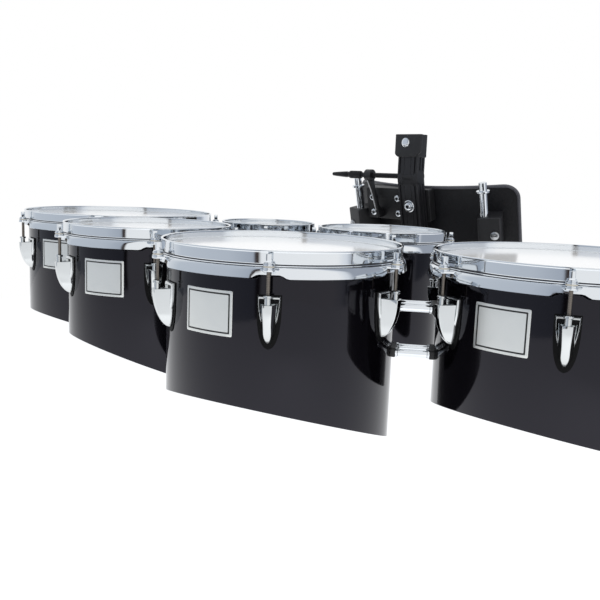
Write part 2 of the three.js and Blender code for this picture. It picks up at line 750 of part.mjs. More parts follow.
// A curved sheet that follows the wearer's belly, with rounded corners
function bellySheet(radius, thick, inset) {
  const centreY = PLATE_FRONT + plateRadius();
  const halfAngle = Math.asin((PLATE_HALF_WIDE - inset) / plateRadius());
  const arc = (arcRadius, step) => {
    const angle = halfAngle * (2 * step / PLATE_STEPS - 1);
    return [arcRadius * Math.sin(angle), centreY - arcRadius * Math.cos(angle)];
  };
  const steps = Array.from({ length: PLATE_STEPS + 1 }, (_, step) => step);
  const front = steps.map((step) => arc(radius, step));
  const back = steps.map((step) => arc(radius - thick, step)).reverse();
  const section = (z) => [...front, ...back].map(([x, y]) => [x, y, z]);
  const top = PLATE_TOP - inset;
  const bottom = PLATE_TOP - PLATE_HIGH + inset;
  const sheet = loft([section(bottom), section(top)], flatOutline);
  const half = PLATE_HALF_WIDE - inset;
  const upper = PLATE_TOP_CORNER - inset;
  const lower = PLATE_LOW_CORNER - inset;
  const outline = new THREE.Shape();
  outline.absarc(half - upper, top - upper, upper, 0, QUARTER_TURN);
  outline.absarc(upper - half, top - upper, upper, QUARTER_TURN, 2 * QUARTER_TURN);
  outline.absarc(lower - half, bottom + lower, lower, 2 * QUARTER_TURN, 3 * QUARTER_TURN);
  outline.absarc(half - lower, bottom + lower, lower, 3 * QUARTER_TURN, FULL_TURN);
  const depth = 2 * PLATE_SAG + 2 * OVERRUN;
  const limit = new THREE.ExtrudeGeometry(outline, {
    depth, bevelEnabled: false, curveSegments: CORNER_STEPS,
  });
  limit.rotateX(QUARTER_TURN);
  limit.translate(0, PLATE_FRONT - OVERRUN + depth, 0);
  return leanBack(keepInside(sheet, limit));
}

function bracketGeometry() {
  const front = POST_Y + POST_THICK / 2 + SLIP;
  const back = PLATE_FRONT + PLATE_SAG;
  const base = block(BRACKET_LEFT, BRACKET_RIGHT, front, back, BRACKET_BOTTOM, BRACKET_TOP);
  const bolts = [];
  for (const x of BOLT_XS) {
    for (const z of BOLT_ZS) {
      bolts.push(domeOnFront(x, front, z, BOLT_RADIUS, BOLT_HIGH));
    }
  }
  const half = ARM_THICK / 2;
  const armFront = POST_Y - ARM_WIDE / 2;
  const armBack = POST_Y + ARM_WIDE / 2;
  const upright = block(-half, half, armFront, armBack, ARM_BOTTOM - HINGE_Z, 0);
  const foot = block(-half, half, armFront, front + BITE, ARM_BOTTOM - HINGE_Z,
    BRACKET_TOP - OVERRUN - HINGE_Z);
  const arm = join(upright, foot).rotateY(-ARM_SLANT).translate(ARM_X + half, 0, HINGE_Z);
  const eye = barAlongX(ARM_X - ARM_THICK, ARM_X + ARM_THICK, POST_Y, HINGE_Z, ARM_EYE_RADIUS,
    HINGE_SIDES);
  const unit = leanBack(join(base, arm, eye, ...bolts));
  const hole = pinHole(-PIN_LEFT);
  return cut(unit, plateSpace(), hole);
}

// A block that stands square on the curved plate, with the bar's bore near its inner end
function socketGeometry(side) {
  const body = block(-SOCKET_INSIDE_BAR, SOCKET_OUTSIDE_BAR, -SOCKET_BEFORE_BAR, SOCKET_BEHIND_BAR,
    SOCKET_BOTTOM, SOCKET_TOP);
  const rivet = domeOnFront(RIVET_OUTSIDE_BAR, -SOCKET_BEFORE_BAR, RIVET_Z, RIVET_RADIUS, RIVET_HIGH);
  const bore = bar(SOCKET_BOTTOM - OVERRUN, SOCKET_TOP + OVERRUN, boreRadius(BAR_RADIUS), CUP_SIDES);
  const square = Math.asin(BAR_X / plateRadius());
  const bracketRoom = block(0, SOCKET_GAP - BRACKET_LEFT, BAR_Y - SOCKET_BEHIND_BAR,
    BAR_Y + SOCKET_BEHIND_BAR + OVERRUN, SOCKET_BOTTOM - OVERRUN, SOCKET_TOP + OVERRUN);
  const solid = join(body, rivet).rotateZ(square).translate(BAR_X, BAR_Y, 0);
  const right = cut(solid, bore.translate(BAR_X, BAR_Y, 0), bracketRoom);
  const socket = side > 0 ? right : mirrored(right);
  return cut(leanBack(socket), plateSpace());
}

// The same piece on the other side of the post
function mirrored(geometry) {
  const copy = geometry.clone().scale(-1, 1, 1);
  const index = copy.index.array;
  for (let i = 0; i < index.length; i += 3) {
    [index[i], index[i + 1]] = [index[i + 1], index[i]];
  }
  return copy;
}

// A bar that leans through its socket, runs under the rack and hooks up into one of its cups
function hookBarGeometry(side) {
  const across = BAR_Y - POST_Y;
  const onLine = (z) => [
    POST_Y + across * Math.cos(LEAN) - (z - HINGE_Z) * Math.sin(LEAN),
    HINGE_Z + across * Math.sin(LEAN) + (z - HINGE_Z) * Math.cos(LEAN),
  ];
  const bendTop = BAR_BEND_Z + BAR_BEND_RADIUS * Math.sin(LEAN);
  const low = HINGE_Z + (bendTop - HINGE_Z - across * Math.sin(LEAN)) / Math.cos(LEAN);
  const backY = onLine(low)[0] - BAR_BEND_RADIUS * Math.cos(LEAN);
  const turnDown = Math.PI / 2 + LEAN;
  const bend = (centreY, start, sweep) => Array.from({ length: BAR_BEND_STEPS + 1 }, (_, step) => {
    const angle = start - sweep * step / BAR_BEND_STEPS;
    return [centreY + BAR_BEND_RADIUS * Math.cos(angle), BAR_BEND_Z + BAR_BEND_RADIUS * Math.sin(angle)];
  });
  const path = [
    onLine(BAR_TOP),
    ...bend(backY, LEAN, turnDown),
    ...bend(HOOK_Y + BAR_BEND_RADIUS, -Math.PI / 2, Math.PI / 2),
    [HOOK_Y, BAR_HOOK_TOP],
  ];
  const collarBottom = BAR_COLLAR_TOP - BAR_COLLAR_HIGH;
  const collar = bar(collarBottom, BAR_COLLAR_TOP, BAR_COLLAR_RADIUS, BAR_SIDES);
  return join(pipe(path, BAR_RADIUS, BAR_SIDES), leanBack(collar.translate(0, BAR_Y, 0)))
    .translate(side * BAR_X, 0, 0);
}

// Path points are [y, z] pairs in one upright plane
function pipe(path, radius, sides) {
  const turns = Array.from({ length: sides }, (_, side) => FULL_TURN * side / sides);
  const sections = path.map(([y, z], i) => {
    const [yBefore, zBefore] = path[Math.max(0, i - 1)];
    const [yAfter, zAfter] = path[Math.min(path.length - 1, i + 1)];
    const run = Math.hypot(yAfter - yBefore, zAfter - zBefore);
    const acrossY = (zAfter - zBefore) / run;
    const acrossZ = (yBefore - yAfter) / run;
    return turns.map((angle) => {
      const outward = radius * Math.sin(angle);
      return [radius * Math.cos(angle), y + outward * acrossY, z + outward * acrossZ];
    });
  });
  const outline = turns.map((angle) => new THREE.Vector2(Math.cos(angle), Math.sin(angle)));
  return loft(sections, () => outline);
}

// Assembly
const root = new THREE.Group();
root.name = 'marching_tenor_drums';

function addPiece(name, geometry, finish) {
  geometry.computeVertexNormals();
  const mesh = new THREE.Mesh(geometry, new THREE.MeshStandardMaterial(FINISH[finish]));
  mesh.name = name;
  root.add(mesh);
}

for (const drum of DRUMS) {
  addPiece(`shell_${drum.name}`, seat(shellGeometry(drum), drum), 'lacquer');
  addPiece(`head_${drum.name}`, seat(headGeometry(drum), drum), 'film');
  addPiece(`counterhoop_${drum.name}`, seat(hoopGeometry(drum), drum), 'chrome');
  if (drum.inches > JOINED_LUGS_BELOW_INCHES) {
    const lugs = aroundLugs(drum, (angle) => lugGeometry(radiusOf(drum) + SLIP, angle));
    lugs.forEach((lug, i) => {
      addPiece(`lug_${drum.name}${i + 1}`, seat(lug, drum), 'chrome');
    });
  }
}

for (const [from, to] of BRIDGES) {
  addPiece(`bridge_${from}${to}`, bridgeGeometry(drumNamed(from), drumNamed(to)), 'chrome');
}
addPiece('rear_rack', rearRackGeometry(), 'chrome');

addPiece('sleeve', sleeveGeometry(), 'painted');
addPiece('post_upper', upperPostGeometry(), 'painted');
addPiece('post_lower', lowerPostGeometry(), 'painted');
addPiece('tilt_screw', tiltScrewGeometry(), 'painted');
addPiece('tilt_bracket', bracketGeometry(), 'painted');
addPiece('belly_plate', bellySheet(plateRadius(), PLATE_THICK, 0), 'painted');
const padRadius = plateRadius() - PLATE_THICK - BELLY_PAD_GAP;
addPiece('belly_pad', bellySheet(padRadius, BELLY_PAD_THICK, BELLY_PAD_INSET), 'foam');
addPiece('socket_left', socketGeometry(-1), 'painted');
addPiece('socket_right', socketGeometry(1), 'painted');
addPiece('hook_bar_left', hookBarGeometry(-1), 'chrome');
addPiece('hook_bar_right', hookBarGeometry(1), 'chrome');

// The harness seat on top of the sleeve becomes the origin
root.position.set(0, -POST_Y, -SLEEVE_TOP);
root.updateMatrixWorld(true);

export default root;
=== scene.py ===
"""Marching tenor drums: the looks of every piece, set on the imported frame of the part."""

import math

import bmesh
import bpy
import numpy as np
from mathutils import Matrix


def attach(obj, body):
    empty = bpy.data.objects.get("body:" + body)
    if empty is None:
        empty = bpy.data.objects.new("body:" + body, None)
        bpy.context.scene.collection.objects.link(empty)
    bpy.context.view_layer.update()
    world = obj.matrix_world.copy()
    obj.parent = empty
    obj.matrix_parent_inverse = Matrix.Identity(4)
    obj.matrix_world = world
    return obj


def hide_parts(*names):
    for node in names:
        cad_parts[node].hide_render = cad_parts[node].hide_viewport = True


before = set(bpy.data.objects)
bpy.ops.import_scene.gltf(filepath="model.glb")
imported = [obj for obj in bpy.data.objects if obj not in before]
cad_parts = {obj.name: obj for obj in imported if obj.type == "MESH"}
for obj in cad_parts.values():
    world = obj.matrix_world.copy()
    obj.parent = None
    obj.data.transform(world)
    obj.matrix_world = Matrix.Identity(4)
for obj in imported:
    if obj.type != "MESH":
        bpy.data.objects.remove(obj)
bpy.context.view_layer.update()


# ---------------------------------------------------------------- camera and studio
# A photographer's white table: pale paper that runs far back, a wide soft box overhead and one
# beside the camera. Gloss mirrors the room round the table: white, with greyer and darker walls.

def to_frame(points):
    """Millimetres with height counted from the hoop rims, to metres from the harness seat."""
    return (np.asarray(points, float) - (0.0, 515.0, 171.0)) * 0.001


def linear(colour):
    """An sRGB hex value as linear light: each channel through the sRGB curve, with alpha 1."""
    channels = [int(colour[i:i + 2], 16) / 255 for i in (1, 3, 5)]
    return [c / 12.92 if c <= 0.04045 else ((c + 0.055) / 1.055) ** 2.4 for c in channels] + [1.0]


def add_node(tree, kind, sockets=(), **settings):
    """Adds one shader node, sets its properties, then fills or links its inputs by name."""
    node = tree.nodes.new(kind)
    for key, value in settings.items():
        setattr(node, key, value)
    for key, value in dict(sockets).items():
        if isinstance(value, bpy.types.NodeSocket):
            tree.links.new(value, node.inputs[key])
        else:
            node.inputs[key].default_value = value
    return node


def new_finish(name, colour, roughness, metallic=0.0, **more):
    """A material of one main colour, and its tree and shader for the patterns that follow."""
    material = bpy.data.materials.new(name)
    material.use_nodes = True
    shader = material.node_tree.nodes["Principled BSDF"]
    shader.inputs["Base Color"].default_value = linear(colour)
    shader.inputs["Roughness"].default_value = roughness
    shader.inputs["Metallic"].default_value = metallic
    for key, value in more.items():
        shader.inputs[key.replace("_", " ")].default_value = value
    return material, material.node_tree, shader


def new_object(name, data, axes=None, place=None):
    """An object in the scene, turned to three axes and set at a place where these are given."""
    thing = bpy.data.objects.new(name, data)
    bpy.context.collection.objects.link(thing)
    if axes is not None:
        thing.matrix_world = Matrix([[*row, 0] for row in np.column_stack(axes)] + [[0, 0, 0, 1]])
        thing.matrix_world.translation = place
    return thing


def unit(ways):
    """Vectors made one long: each divided by its length."""
    return ways / np.linalg.norm(ways, axis=-1, keepdims=True)


YAW, PITCH, ROLL = 0.7384, 0.157, 0.0373
CAMERA_PLACE = (895.549, -776.278, 85.755)
lens = bpy.data.cameras.new("camera")
lens.sensor_width, lens.lens, lens.clip_start = 36.0, 47.331, 0.02
ahead = np.array([-math.sin(YAW) * math.cos(PITCH), math.cos(YAW) * math.cos(PITCH), -math.sin(PITCH)])
level_right = np.array([math.cos(YAW), math.sin(YAW), 0.0])
level_up = np.cross(level_right, ahead)
right = math.cos(ROLL) * level_right + math.sin(ROLL) * level_up
up = math.cos(ROLL) * level_up - math.sin(ROLL) * level_right
bpy.context.scene.camera = new_object("camera", lens, [right, up, -ahead], to_frame(CAMERA_PLACE))
bpy.context.scene.view_settings.view_transform = "Standard"


def background_rays(tree):
    """1 for camera, glossy and transmission rays, which see the background, 0 for rays that carry light."""
    path = add_node(tree, "ShaderNodeLightPath")
    camera_ray, glossy_ray = path.outputs["Is Camera Ray"], path.outputs["Is Glossy Ray"]
    seen = add_node(tree, "ShaderNodeMath", {0: camera_ray, 1: glossy_ray}, operation="MAXIMUM")
    return add_node(tree, "ShaderNodeMath", {0: seen.outputs[0], 1: path.outputs["Is Transmission Ray"]},
                    operation="MAXIMUM").outputs[0]


# Seamless background paper: pale and matt, lifted to white where it is seen, so only shadow darkens it
paper, tree, shader = new_finish("seamless_paper_white", "#f4f4f4", 0.9, Specular_IOR_Level=0.0,
                                 Emission_Color=linear("#ffffff"))
lifted = add_node(tree, "ShaderNodeMath", {0: background_rays(tree), 1: 0.5}, operation="MULTIPLY")
tree.links.new(lifted.outputs[0], shader.inputs["Emission Strength"])
FLOOR_LEFT, FLOOR_RIGHT, FLOOR_FRONT, FLOOR_BACK, FLOOR_Z = -5.6, 5.9, -4.6, 5.5, -1.25
floor = bpy.data.meshes.new("floor")
floor.from_pydata([(FLOOR_LEFT, FLOOR_FRONT, FLOOR_Z), (FLOOR_RIGHT, FLOOR_FRONT, FLOOR_Z),
                   (FLOOR_RIGHT, FLOOR_BACK, FLOOR_Z), (FLOOR_LEFT, FLOOR_BACK, FLOOR_Z)], [], [(0, 1, 2, 3)])
floor.materials.append(paper)
new_object("floor", floor)

world = bpy.data.worlds.new("white_room")
bpy.context.scene.world = world
world.use_nodes = True
sky = world.node_tree
sky.nodes.clear()
# The walls by bearing round the table, in degrees from +X: gloss sees them, the camera sees plain white
where = add_node(sky, "ShaderNodeTexCoord")
way = add_node(sky, "ShaderNodeSeparateXYZ", {0: where.outputs["Generated"]})
bearing = add_node(sky, "ShaderNodeMath", {0: way.outputs["Y"], 1: way.outputs["X"]}, operation="ARCTAN2")
round_share = add_node(sky, "ShaderNodeMapRange", {"Value": bearing.outputs[0], 1: -math.pi, 2: math.pi})
walls = add_node(sky, "ShaderNodeValToRGB", {"Fac": round_share.outputs[0]})
stops = walls.color_ramp.elements
while len(stops) > 1:
    stops.remove(stops[0])
WALL_TONES = (
    (-179, "#f4f6f8"), (-152, "#c9d0d9"), (-95, "#c0c7d1"), (-72, "#adb5c1"), (-70, "#3b3331"),
    (-67, "#3b3331"), (-65.5, "#fbfcfd"), (4, "#ffffff"), (14, "#e6eaf0"), (20, "#a3a9b4"),
    (84, "#a3a9b4"), (94, "#e6eaf0"), (112, "#f6f7f9"))
for degrees, tone in WALL_TONES:
    stop = stops.new((degrees + 180) / 360)
    stop.color = linear(tone)
stops[-1].color = linear("#f4f6f8")
seen = background_rays(sky)
direct = add_node(sky, "ShaderNodeLightPath")
mirrored = add_node(sky, "ShaderNodeBackground", {"Color": walls.outputs["Color"], "Strength": 1.0})
white = add_node(sky, "ShaderNodeBackground", {"Color": linear("#ffffff"), "Strength": 1.0})
lit = add_node(sky, "ShaderNodeBackground", {"Color": linear("#f4f7fb"), "Strength": 0.62})
shown = add_node(sky, "ShaderNodeMixShader", {0: direct.outputs["Is Camera Ray"], 1: mirrored.outputs[0],
                                              2: white.outputs[0]})
both = add_node(sky, "ShaderNodeMixShader", {0: seen, 1: lit.outputs[0], 2: shown.outputs[0]})
add_node(sky, "ShaderNodeOutputWorld", {"Surface": both.outputs[0]})


def soft_box(name, place, target, width, height, watts):
    """An area lamp at place that faces target. Its own shape doesn't show in gloss."""
    lamp = bpy.data.lights.new(name, "AREA")
    lamp.shape = "RECTANGLE"
    lamp.size, lamp.size_y, lamp.energy = width, height, watts
    from_z = unit(np.asarray(place, float) - target)
    side = unit(np.cross([0, 0, 1.0], from_z))
    new_object(name, lamp, [side, np.cross(from_z, side), from_z], place).visible_glossy = False


row_middle = np.array([0.0, -0.35, -0.25])
soft_box("soft_box_overhead", (0.3, -0.8, 1.7), row_middle, 2.6, 1.6, 24)
soft_box("soft_box_beside_camera", (2.1, -1.9, 0.35), row_middle, 0.9, 1.5, 14)


# ---------------------------------------------------------------- shells
# Each shell is a birch-ply tube in high-gloss black lacquer, left as clear-coated wood inside.
# Its top is cut to a bearing edge and its mouth on a slant, so it plays deeper toward the player.

def grid_faces(rows, columns, close_rows=False, close_columns=False):
    """Quads between the neighbours of a rows by columns grid of points, joined up where it closes."""
    row = np.arange(rows if close_rows else rows - 1)[:, None]
    column = np.arange(columns if close_columns else columns - 1)[None, :]
    next_row, next_column = (row + 1) % rows, (column + 1) % columns
    corners = [row * columns + column, next_row * columns + column,
               next_row * columns + next_column, row * columns + next_column]
    return np.stack(np.broadcast_arrays(*corners), -1).reshape(-1, 4)


def full_turn(steps):
    """Even angles round a full turn, the last one a step short of the first."""
    return np.linspace(0, 2 * math.pi, steps, endpoint=False)


def round_z(radius, angle, height):
    """Points at a radius, an angle about Z and a height: x = r cos a, y = r sin a, z = h."""
    return np.stack(np.broadcast_arrays(radius * np.cos(angle), radius * np.sin(angle), height), -1)


def skinned(rings, close_rows=False):
    """A skin over rows of points that each close on themselves; the last row can join the first."""
    rings = np.asarray(rings, float)
    return rings.reshape(-1, 3), grid_faces(*rings.shape[:2], close_rows, True)


def turned(profile, steps):
    """A closed profile of radius and height turned about Z."""
    radius, height = np.asarray(profile, float).T[..., None]
    return skinned(round_z(radius, full_turn(steps), height), True)


def moved(part, x, y=0.0, z=0.0):
    """The part moved by x, y and z."""
    return part[0] + (x, y, z), part[1]


def joined(*parts):
    """Several (points, faces) parts as one, each part's face numbers moved on past the last's points."""
    starts = np.cumsum([0] + [len(points) for points, _ in parts[:-1]])
    return (np.concatenate([points for points, _ in parts]),
            np.concatenate([faces + start for (_, faces), start in zip(parts, starts)]))


def make_piece(name, body, finishes, parts, replaces=(), smooth=32):
    """One finished piece: parts are (points in mm, faces), one for each finish. Doubles are merged,
    faces are turned outwards and edges sharper than the smoothing angle stay crisp."""
    points, faces = joined(*parts)
    numbers = np.repeat(np.arange(len(parts)), [len(part_faces) for _, part_faces in parts])
    mesh = bpy.data.meshes.new(name)
    mesh.vertices.add(len(points))
    mesh.vertices.foreach_set("co", to_frame(points).astype(np.float32).ravel())
    mesh.loops.add(faces.size)
    mesh.loops.foreach_set("vertex_index", faces.astype(np.int32).ravel())
    mesh.polygons.add(len(faces))
    mesh.polygons.foreach_set("loop_start", np.arange(0, faces.size, 4, dtype=np.int32))
    mesh.polygons.foreach_set("material_index", numbers.astype(np.int32))
    mesh.update(calc_edges=True)
    work = bmesh.new()
    work.from_mesh(mesh)
    bmesh.ops.remove_doubles(work, verts=work.verts, dist=2e-6)
    bmesh.ops.recalc_face_normals(work, faces=work.faces)
    work.to_mesh(mesh)
    work.free()
    mesh.shade_smooth()
    mesh.set_sharp_from_angle(angle=math.radians(smooth))
    for finish in finishes:
        mesh.materials.append(finish)
    piece = new_object(name, mesh)
    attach(piece, body)
    if replaces:
        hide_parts(*replaces)
    return piece


def relief(tree, shader, height, distance, strength=1.0):
    """Lets a pattern raise and sink the surface by up to distance, in metres."""
    bump = add_node(tree, "ShaderNodeBump", {"Height": height, "Distance": distance, "Strength": strength})
    tree.links.new(bump.outputs["Normal"], shader.inputs["Normal"])


def add_grain(tree, shader, raised, kind="Noise", stretch=None, settings=(), **sockets):
    """Raises the surface by a pattern in the object's own metres, stretched along the axes where stretch
    is given, and hands the pattern back."""
    place = add_node(tree, "ShaderNodeTexCoord").outputs["Object"]
    if stretch:
        place = add_node(tree, "ShaderNodeMapping", {"Vector": place, "Scale": stretch}).outputs[0]
    grain = add_node(tree, "ShaderNodeTex" + kind, {"Vector": place, **sockets}, **dict(settings))
    relief(tree, shader, grain.outputs["Distance" if kind == "Voronoi" else "Fac"], raised)
    return grain


def vary_gloss(tree, shader, low, high, **sockets):
    """Lets the roughness drift between low and high with a noise."""
    where = add_node(tree, "ShaderNodeTexCoord")
    drift = add_node(tree, "ShaderNodeTexNoise", {"Vector": where.outputs["Object"], **sockets})
    spread = add_node(tree, "ShaderNodeMapRange", {"Value": drift.outputs["Fac"], 3: low, 4: high})
    tree.links.new(spread.outputs[0], shader.inputs["Roughness"])


# Black polyurethane lacquer, sprayed and buffed: mirror-like, with a faint orange peel 9 mm across
lacquer, tree, shader = new_finish("polyurethane_lacquer_black", "#070609", 0.07, IOR=1.42,
                                   Specular_Tint=linear("#efedff"))
add_grain(tree, shader, 0.00002, Scale=110.0, Detail=2.0)
vary_gloss(tree, shader, 0.05, 0.11, Scale=9.0, Detail=3.0)

# Birch veneer under clear coat: straight grain running round the shell, lines about 4 mm apart
veneer, tree, shader = new_finish("birch_veneer_clear", "#c9a676", 0.42, Coat_Weight=0.25, Coat_Roughness=0.2)
grain = add_grain(tree, shader, 0.0001, stretch=(6.0, 6.0, 260.0), Scale=1.0, Detail=5.0, Distortion=0.6)
tones = add_node(tree, "ShaderNodeValToRGB", {"Fac": grain.outputs["Fac"]})
for stop, position, colour in zip(tones.color_ramp.elements, (0.3, 0.7), ("#a9804f", "#d9bb8d")):
    stop.position, stop.color = position, linear(colour)
tree.links.new(tones.outputs["Color"], shader.inputs["Base Color"])

# Each drum: radius of the head, lugs, bearing of the first lug, centre, depth to the middle of the
# mouth, and the mouth's slant in degrees with the bearing of its deepest side
DRUMS = {
    "a": dict(radius=177.8, lugs=7, bearing=-102.2, centre=(-478, 174), depth=251, slant=17.4, deepest=80.5),
    "b": dict(radius=127.0, lugs=5, bearing=-104.8, centre=(-167, 14), depth=232, slant=22.3, deepest=74.7),
    "c": dict(radius=152.4, lugs=6, bearing=-111.3, centre=(167, -14), depth=240, slant=18.8, deepest=100.2),
    "d": dict(radius=165.1, lugs=7, bearing=-117.5, centre=(478, 191), depth=236, slant=16.3, deepest=85.7),
    "e": dict(radius=76.2, lugs=4, bearing=42.0, centre=(-125, 252), depth=180, slant=18.0, deepest=90.0),
    "f": dict(radius=101.6, lugs=4, bearing=45.0, centre=(72, 336), depth=205, slant=18.0, deepest=90.0),
}
SHELL_WALL, SHELL_STEPS = 6.5, 192


def at_drum(part, drum, turn=0.0):
    """Turns a part about the drum's axis and moves it to the drum's place in the row."""
    points, faces = part
    cosine, sine = math.cos(turn), math.sin(turn)
    x, y = points[:, 0] * cosine - points[:, 1] * sine, points[:, 0] * sine + points[:, 1] * cosine
    return np.stack([x + drum["centre"][0], y + drum["centre"][1], points[:, 2]], -1), faces


def lug_bearings(drum):
    """The bearing of each lug in radians: even steps round the drum from its first lug."""
    return math.radians(drum["bearing"]) + 2 * math.pi * np.arange(drum["lugs"]) / drum["lugs"]


def at_lugs(part, drum):
    """The same part at every lug of the drum: one turn matrix for each lug, applied to all points."""
    return joined(*[at_drum(part, drum, bearing) for bearing in lug_bearings(drum)])


for name, drum in DRUMS.items():
    face, inside, mouth = drum["radius"], drum["radius"] - SHELL_WALL, -drum["depth"]
    slope, deepest = math.tan(math.radians(drum["slant"])), math.radians(drum["deepest"])
    outer = [(inside + 3.2, mouth), (face - 0.9, mouth), (face - 0.25, mouth + 0.3), (face, mouth + 1.0),
             (face, -60), (face, -13.2), (face - 0.7, -12.2), (face - 2.2, -10.6), (face - 3.4, -10.4)]
    inner = [(face - 3.4, -10.4), (inside + 1.0, -12.2), (inside, -13.8), (inside, -60),
             (inside, mouth + 0.8), (inside + 0.5, mouth + 0.1), (inside + 1.2, mouth), (inside + 3.2, mouth)]
    parts = []
    for profile in (outer, inner):
        points = turned(profile, SHELL_STEPS)[0]
        open_faces = grid_faces(len(profile), SHELL_STEPS, False, True)
        low = points[:, 2] < mouth + 1.5
        points[low, 2] -= (points[low, 0] * math.cos(deepest) + points[low, 1] * math.sin(deepest)) * slope
        parts.append(at_drum((points, open_faces), drum))
    make_piece(f"shell_{name}_tube", "drums", [lacquer, veneer], parts,
               replaces=[f"shell_{name}"], smooth=40)


# ---------------------------------------------------------------- heads
# White coated polyester film, heat-formed over the bearing edge and glued into an aluminium
# flesh hoop that the counterhoop presses down.

# Polyester film with a fine sprayed coating: white, low gloss, grain about 1 mm
film, tree, shader = new_finish("polyester_film_white", "#fdfcfa", 0.11, IOR=1.6)
add_grain(tree, shader, 0.00001, Scale=900.0, Detail=2.0)
# Rolled aluminium channel of the flesh hoop
aluminium, tree, shader = new_finish("rolled_aluminium", "#b9bcc0", 0.34, 1.0)
add_grain(tree, shader, 0.00002, stretch=(20.0, 20.0, 1500.0), Scale=1.0, Detail=3.0)
HEAD_STEPS = 160

for name, drum in DRUMS.items():
    face = drum["radius"]
    skin = [(0, -9.0), (face * 0.5, -9.0), (face - 6, -9.0), (face - 2.6, -9.15), (face - 0.6, -9.7),
            (face + 0.6, -10.9), (face + 1.2, -12.6), (face + 1.3, -17.6), (face + 1.0, -17.6),
            (face + 0.9, -12.7), (face + 0.3, -11.1), (face - 0.8, -10.0), (face - 2.7, -9.45),
            (face - 6, -9.3), (face * 0.5, -9.3), (0, -9.3)]
    channel = [(face + 0.9, -17.4), (face + 6.6, -17.4), (face + 7.2, -18.0), (face + 7.2, -24.6),
               (face + 6.4, -25.4), (face + 1.4, -25.4), (face + 0.8, -24.8), (face + 0.8, -18.0)]
    parts = [at_drum(turned(profile, HEAD_STEPS), drum) for profile in (skin, channel)]
    make_piece(f"head_{name}_film", "drums", [film, aluminium], parts, replaces=[f"head_{name}"])


# ---------------------------------------------------------------- counterhoops
# Pressed steel hoops, polished and chromed: an upright band, a crease, and a flared skirt that is
# notched at each lug, where an ear carries the tension rod.

def add_polish(tree, shader, waviness):
    """Gives polished metal the slow waviness of buffing and a faint change of gloss over it."""
    add_grain(tree, shader, waviness, Scale=38.0, Detail=1.0)
    vary_gloss(tree, shader, 0.03, 0.085, Scale=160.0, Detail=4.0)


# Chromium plate on polished steel: neutral, a touch blue, almost a mirror
chrome, tree, shader = new_finish("chrome_plate_polished", "#e2e6ea", 0.05, 1.0)
add_polish(tree, shader, 0.00012)
# Painted shade, dull dark grey with a 0.8 mm grit: colours the hoop's grooves and the bolts' hexagon sockets
# darker where shade falls
painted_shade_grey, tree, shader = new_finish("painted_shade_dark_grey", "#4c4d52", 0.5, 0.6)
add_grain(tree, shader, 0.00004, Scale=1200.0, Detail=2.0)


def eased(value, low, high):
    """Smooth step from 0 at low to 1 at high: t squared times three less two t."""
    share = np.clip((value - low) / (high - low), 0, 1)
    return share * share * (3 - 2 * share)


def split(part, chosen):
    """A part's faces that aren't chosen and those that are, as two parts on the same points."""
    points, faces = part
    return (points, faces[~chosen]), (points, faces[chosen])


# The hoop's section: how far out from the head's radius, and height. At a notch, the rows from
# NOTCHED on are drawn up. GROOVES are the rows either side of the bead under the band, coloured as painted
# shade.
HOOP_FULL = np.array([
    (5.2, -14.2), (5.2, -13.6), (5.2, -2.5), (5.2, -1.9), (5.35, -1.0), (5.8, -0.3), (6.5, 0.0), (7.3, 0.0),
    (8.0, -0.3), (8.45, -0.95), (8.5, -1.6), (8.2, -2.3), (8.2, -2.8), (8.2, -14.8), (8.2, -15.3),
    (8.1, -15.7), (7.6, -16.1), (7.6, -16.9), (8.7, -17.2), (9.2, -17.7), (9.1, -18.3), (8.6, -18.7),
    (8.9, -19.3), (9.9, -19.6), (10.9, -20.3), (12.3, -23.3), (13.3, -27.0), (14.0, -31.3), (14.0, -32.1),
    (13.3, -32.5), (12.4, -32.2), (11.2, -27.3), (10.0, -23.2), (8.9, -20.6), (7.0, -17.2), (2.6, -17.1),
    (2.6, -14.9), (4.6, -14.9)])
HOOP_NOTCHED = HOOP_FULL.copy()
HOOP_NOTCHED[23:34] = [
    (9.4, -19.6), (10.4, -20.2), (11.4, -21.6), (12.3, -24.0), (12.9, -26.9), (13.0, -27.6), (12.5, -28.0),
    (11.8, -27.8), (11.0, -24.6), (9.9, -22.0), (8.8, -20.4)]
GROOVES = (15, 16, 17, 21)
NOTCH_END, SKIRT_START = 12, 23


def hoop_ring(drum):
    """The hoop's section carried round the drum. With s the arc length to the nearest lug, it eases from
    notched where s is under 12 mm to full where s is over 23 mm. The second part is the grooves, coloured
    dark grey as painted shade."""
    steps = 44 * drum["lugs"]
    angle = 2 * math.pi * np.arange(steps) / steps
    pitch_angle = 2 * math.pi / drum["lugs"]
    arc = np.abs((angle + pitch_angle / 2) % pitch_angle - pitch_angle / 2) * (drum["radius"] + 13)
    share = eased(arc, NOTCH_END, SKIRT_START)[None, :, None]
    section = HOOP_NOTCHED[:, None, :] * (1 - share) + HOOP_FULL[:, None, :] * share
    ring = skinned(round_z(drum["radius"] + section[..., 0], angle, section[..., 1]), True)
    return split(ring, np.isin(np.repeat(np.arange(len(HOOP_FULL)), steps), GROOVES))


def offset_outline(outline, inset):
    """Moves a closed outline inwards by inset along the mean of each point's two edge normals."""
    edge = unit(np.roll(outline, -1, 0) - outline)
    normal = np.stack([edge[:, 1], -edge[:, 0]], -1)
    mean = normal + np.roll(normal, 1, 0)
    mean /= np.maximum((mean * mean).sum(1), 1e-9)[:, None] / 2
    return outline - inset * mean


def stacked(rings):
    """A closed body from rings of points, one above the other, each end closed to its middle."""
    rings = np.asarray(rings, float)
    ends = [np.repeat(ring.mean(0)[None], rings.shape[1], 0)[None] for ring in (rings[0], rings[-1])]
    return skinned(np.concatenate([ends[0], rings, ends[1]]))


def level_ring(outline, height):
    """An outline in x and y as points at one height."""
    return np.column_stack([outline, np.full(len(outline), height)])


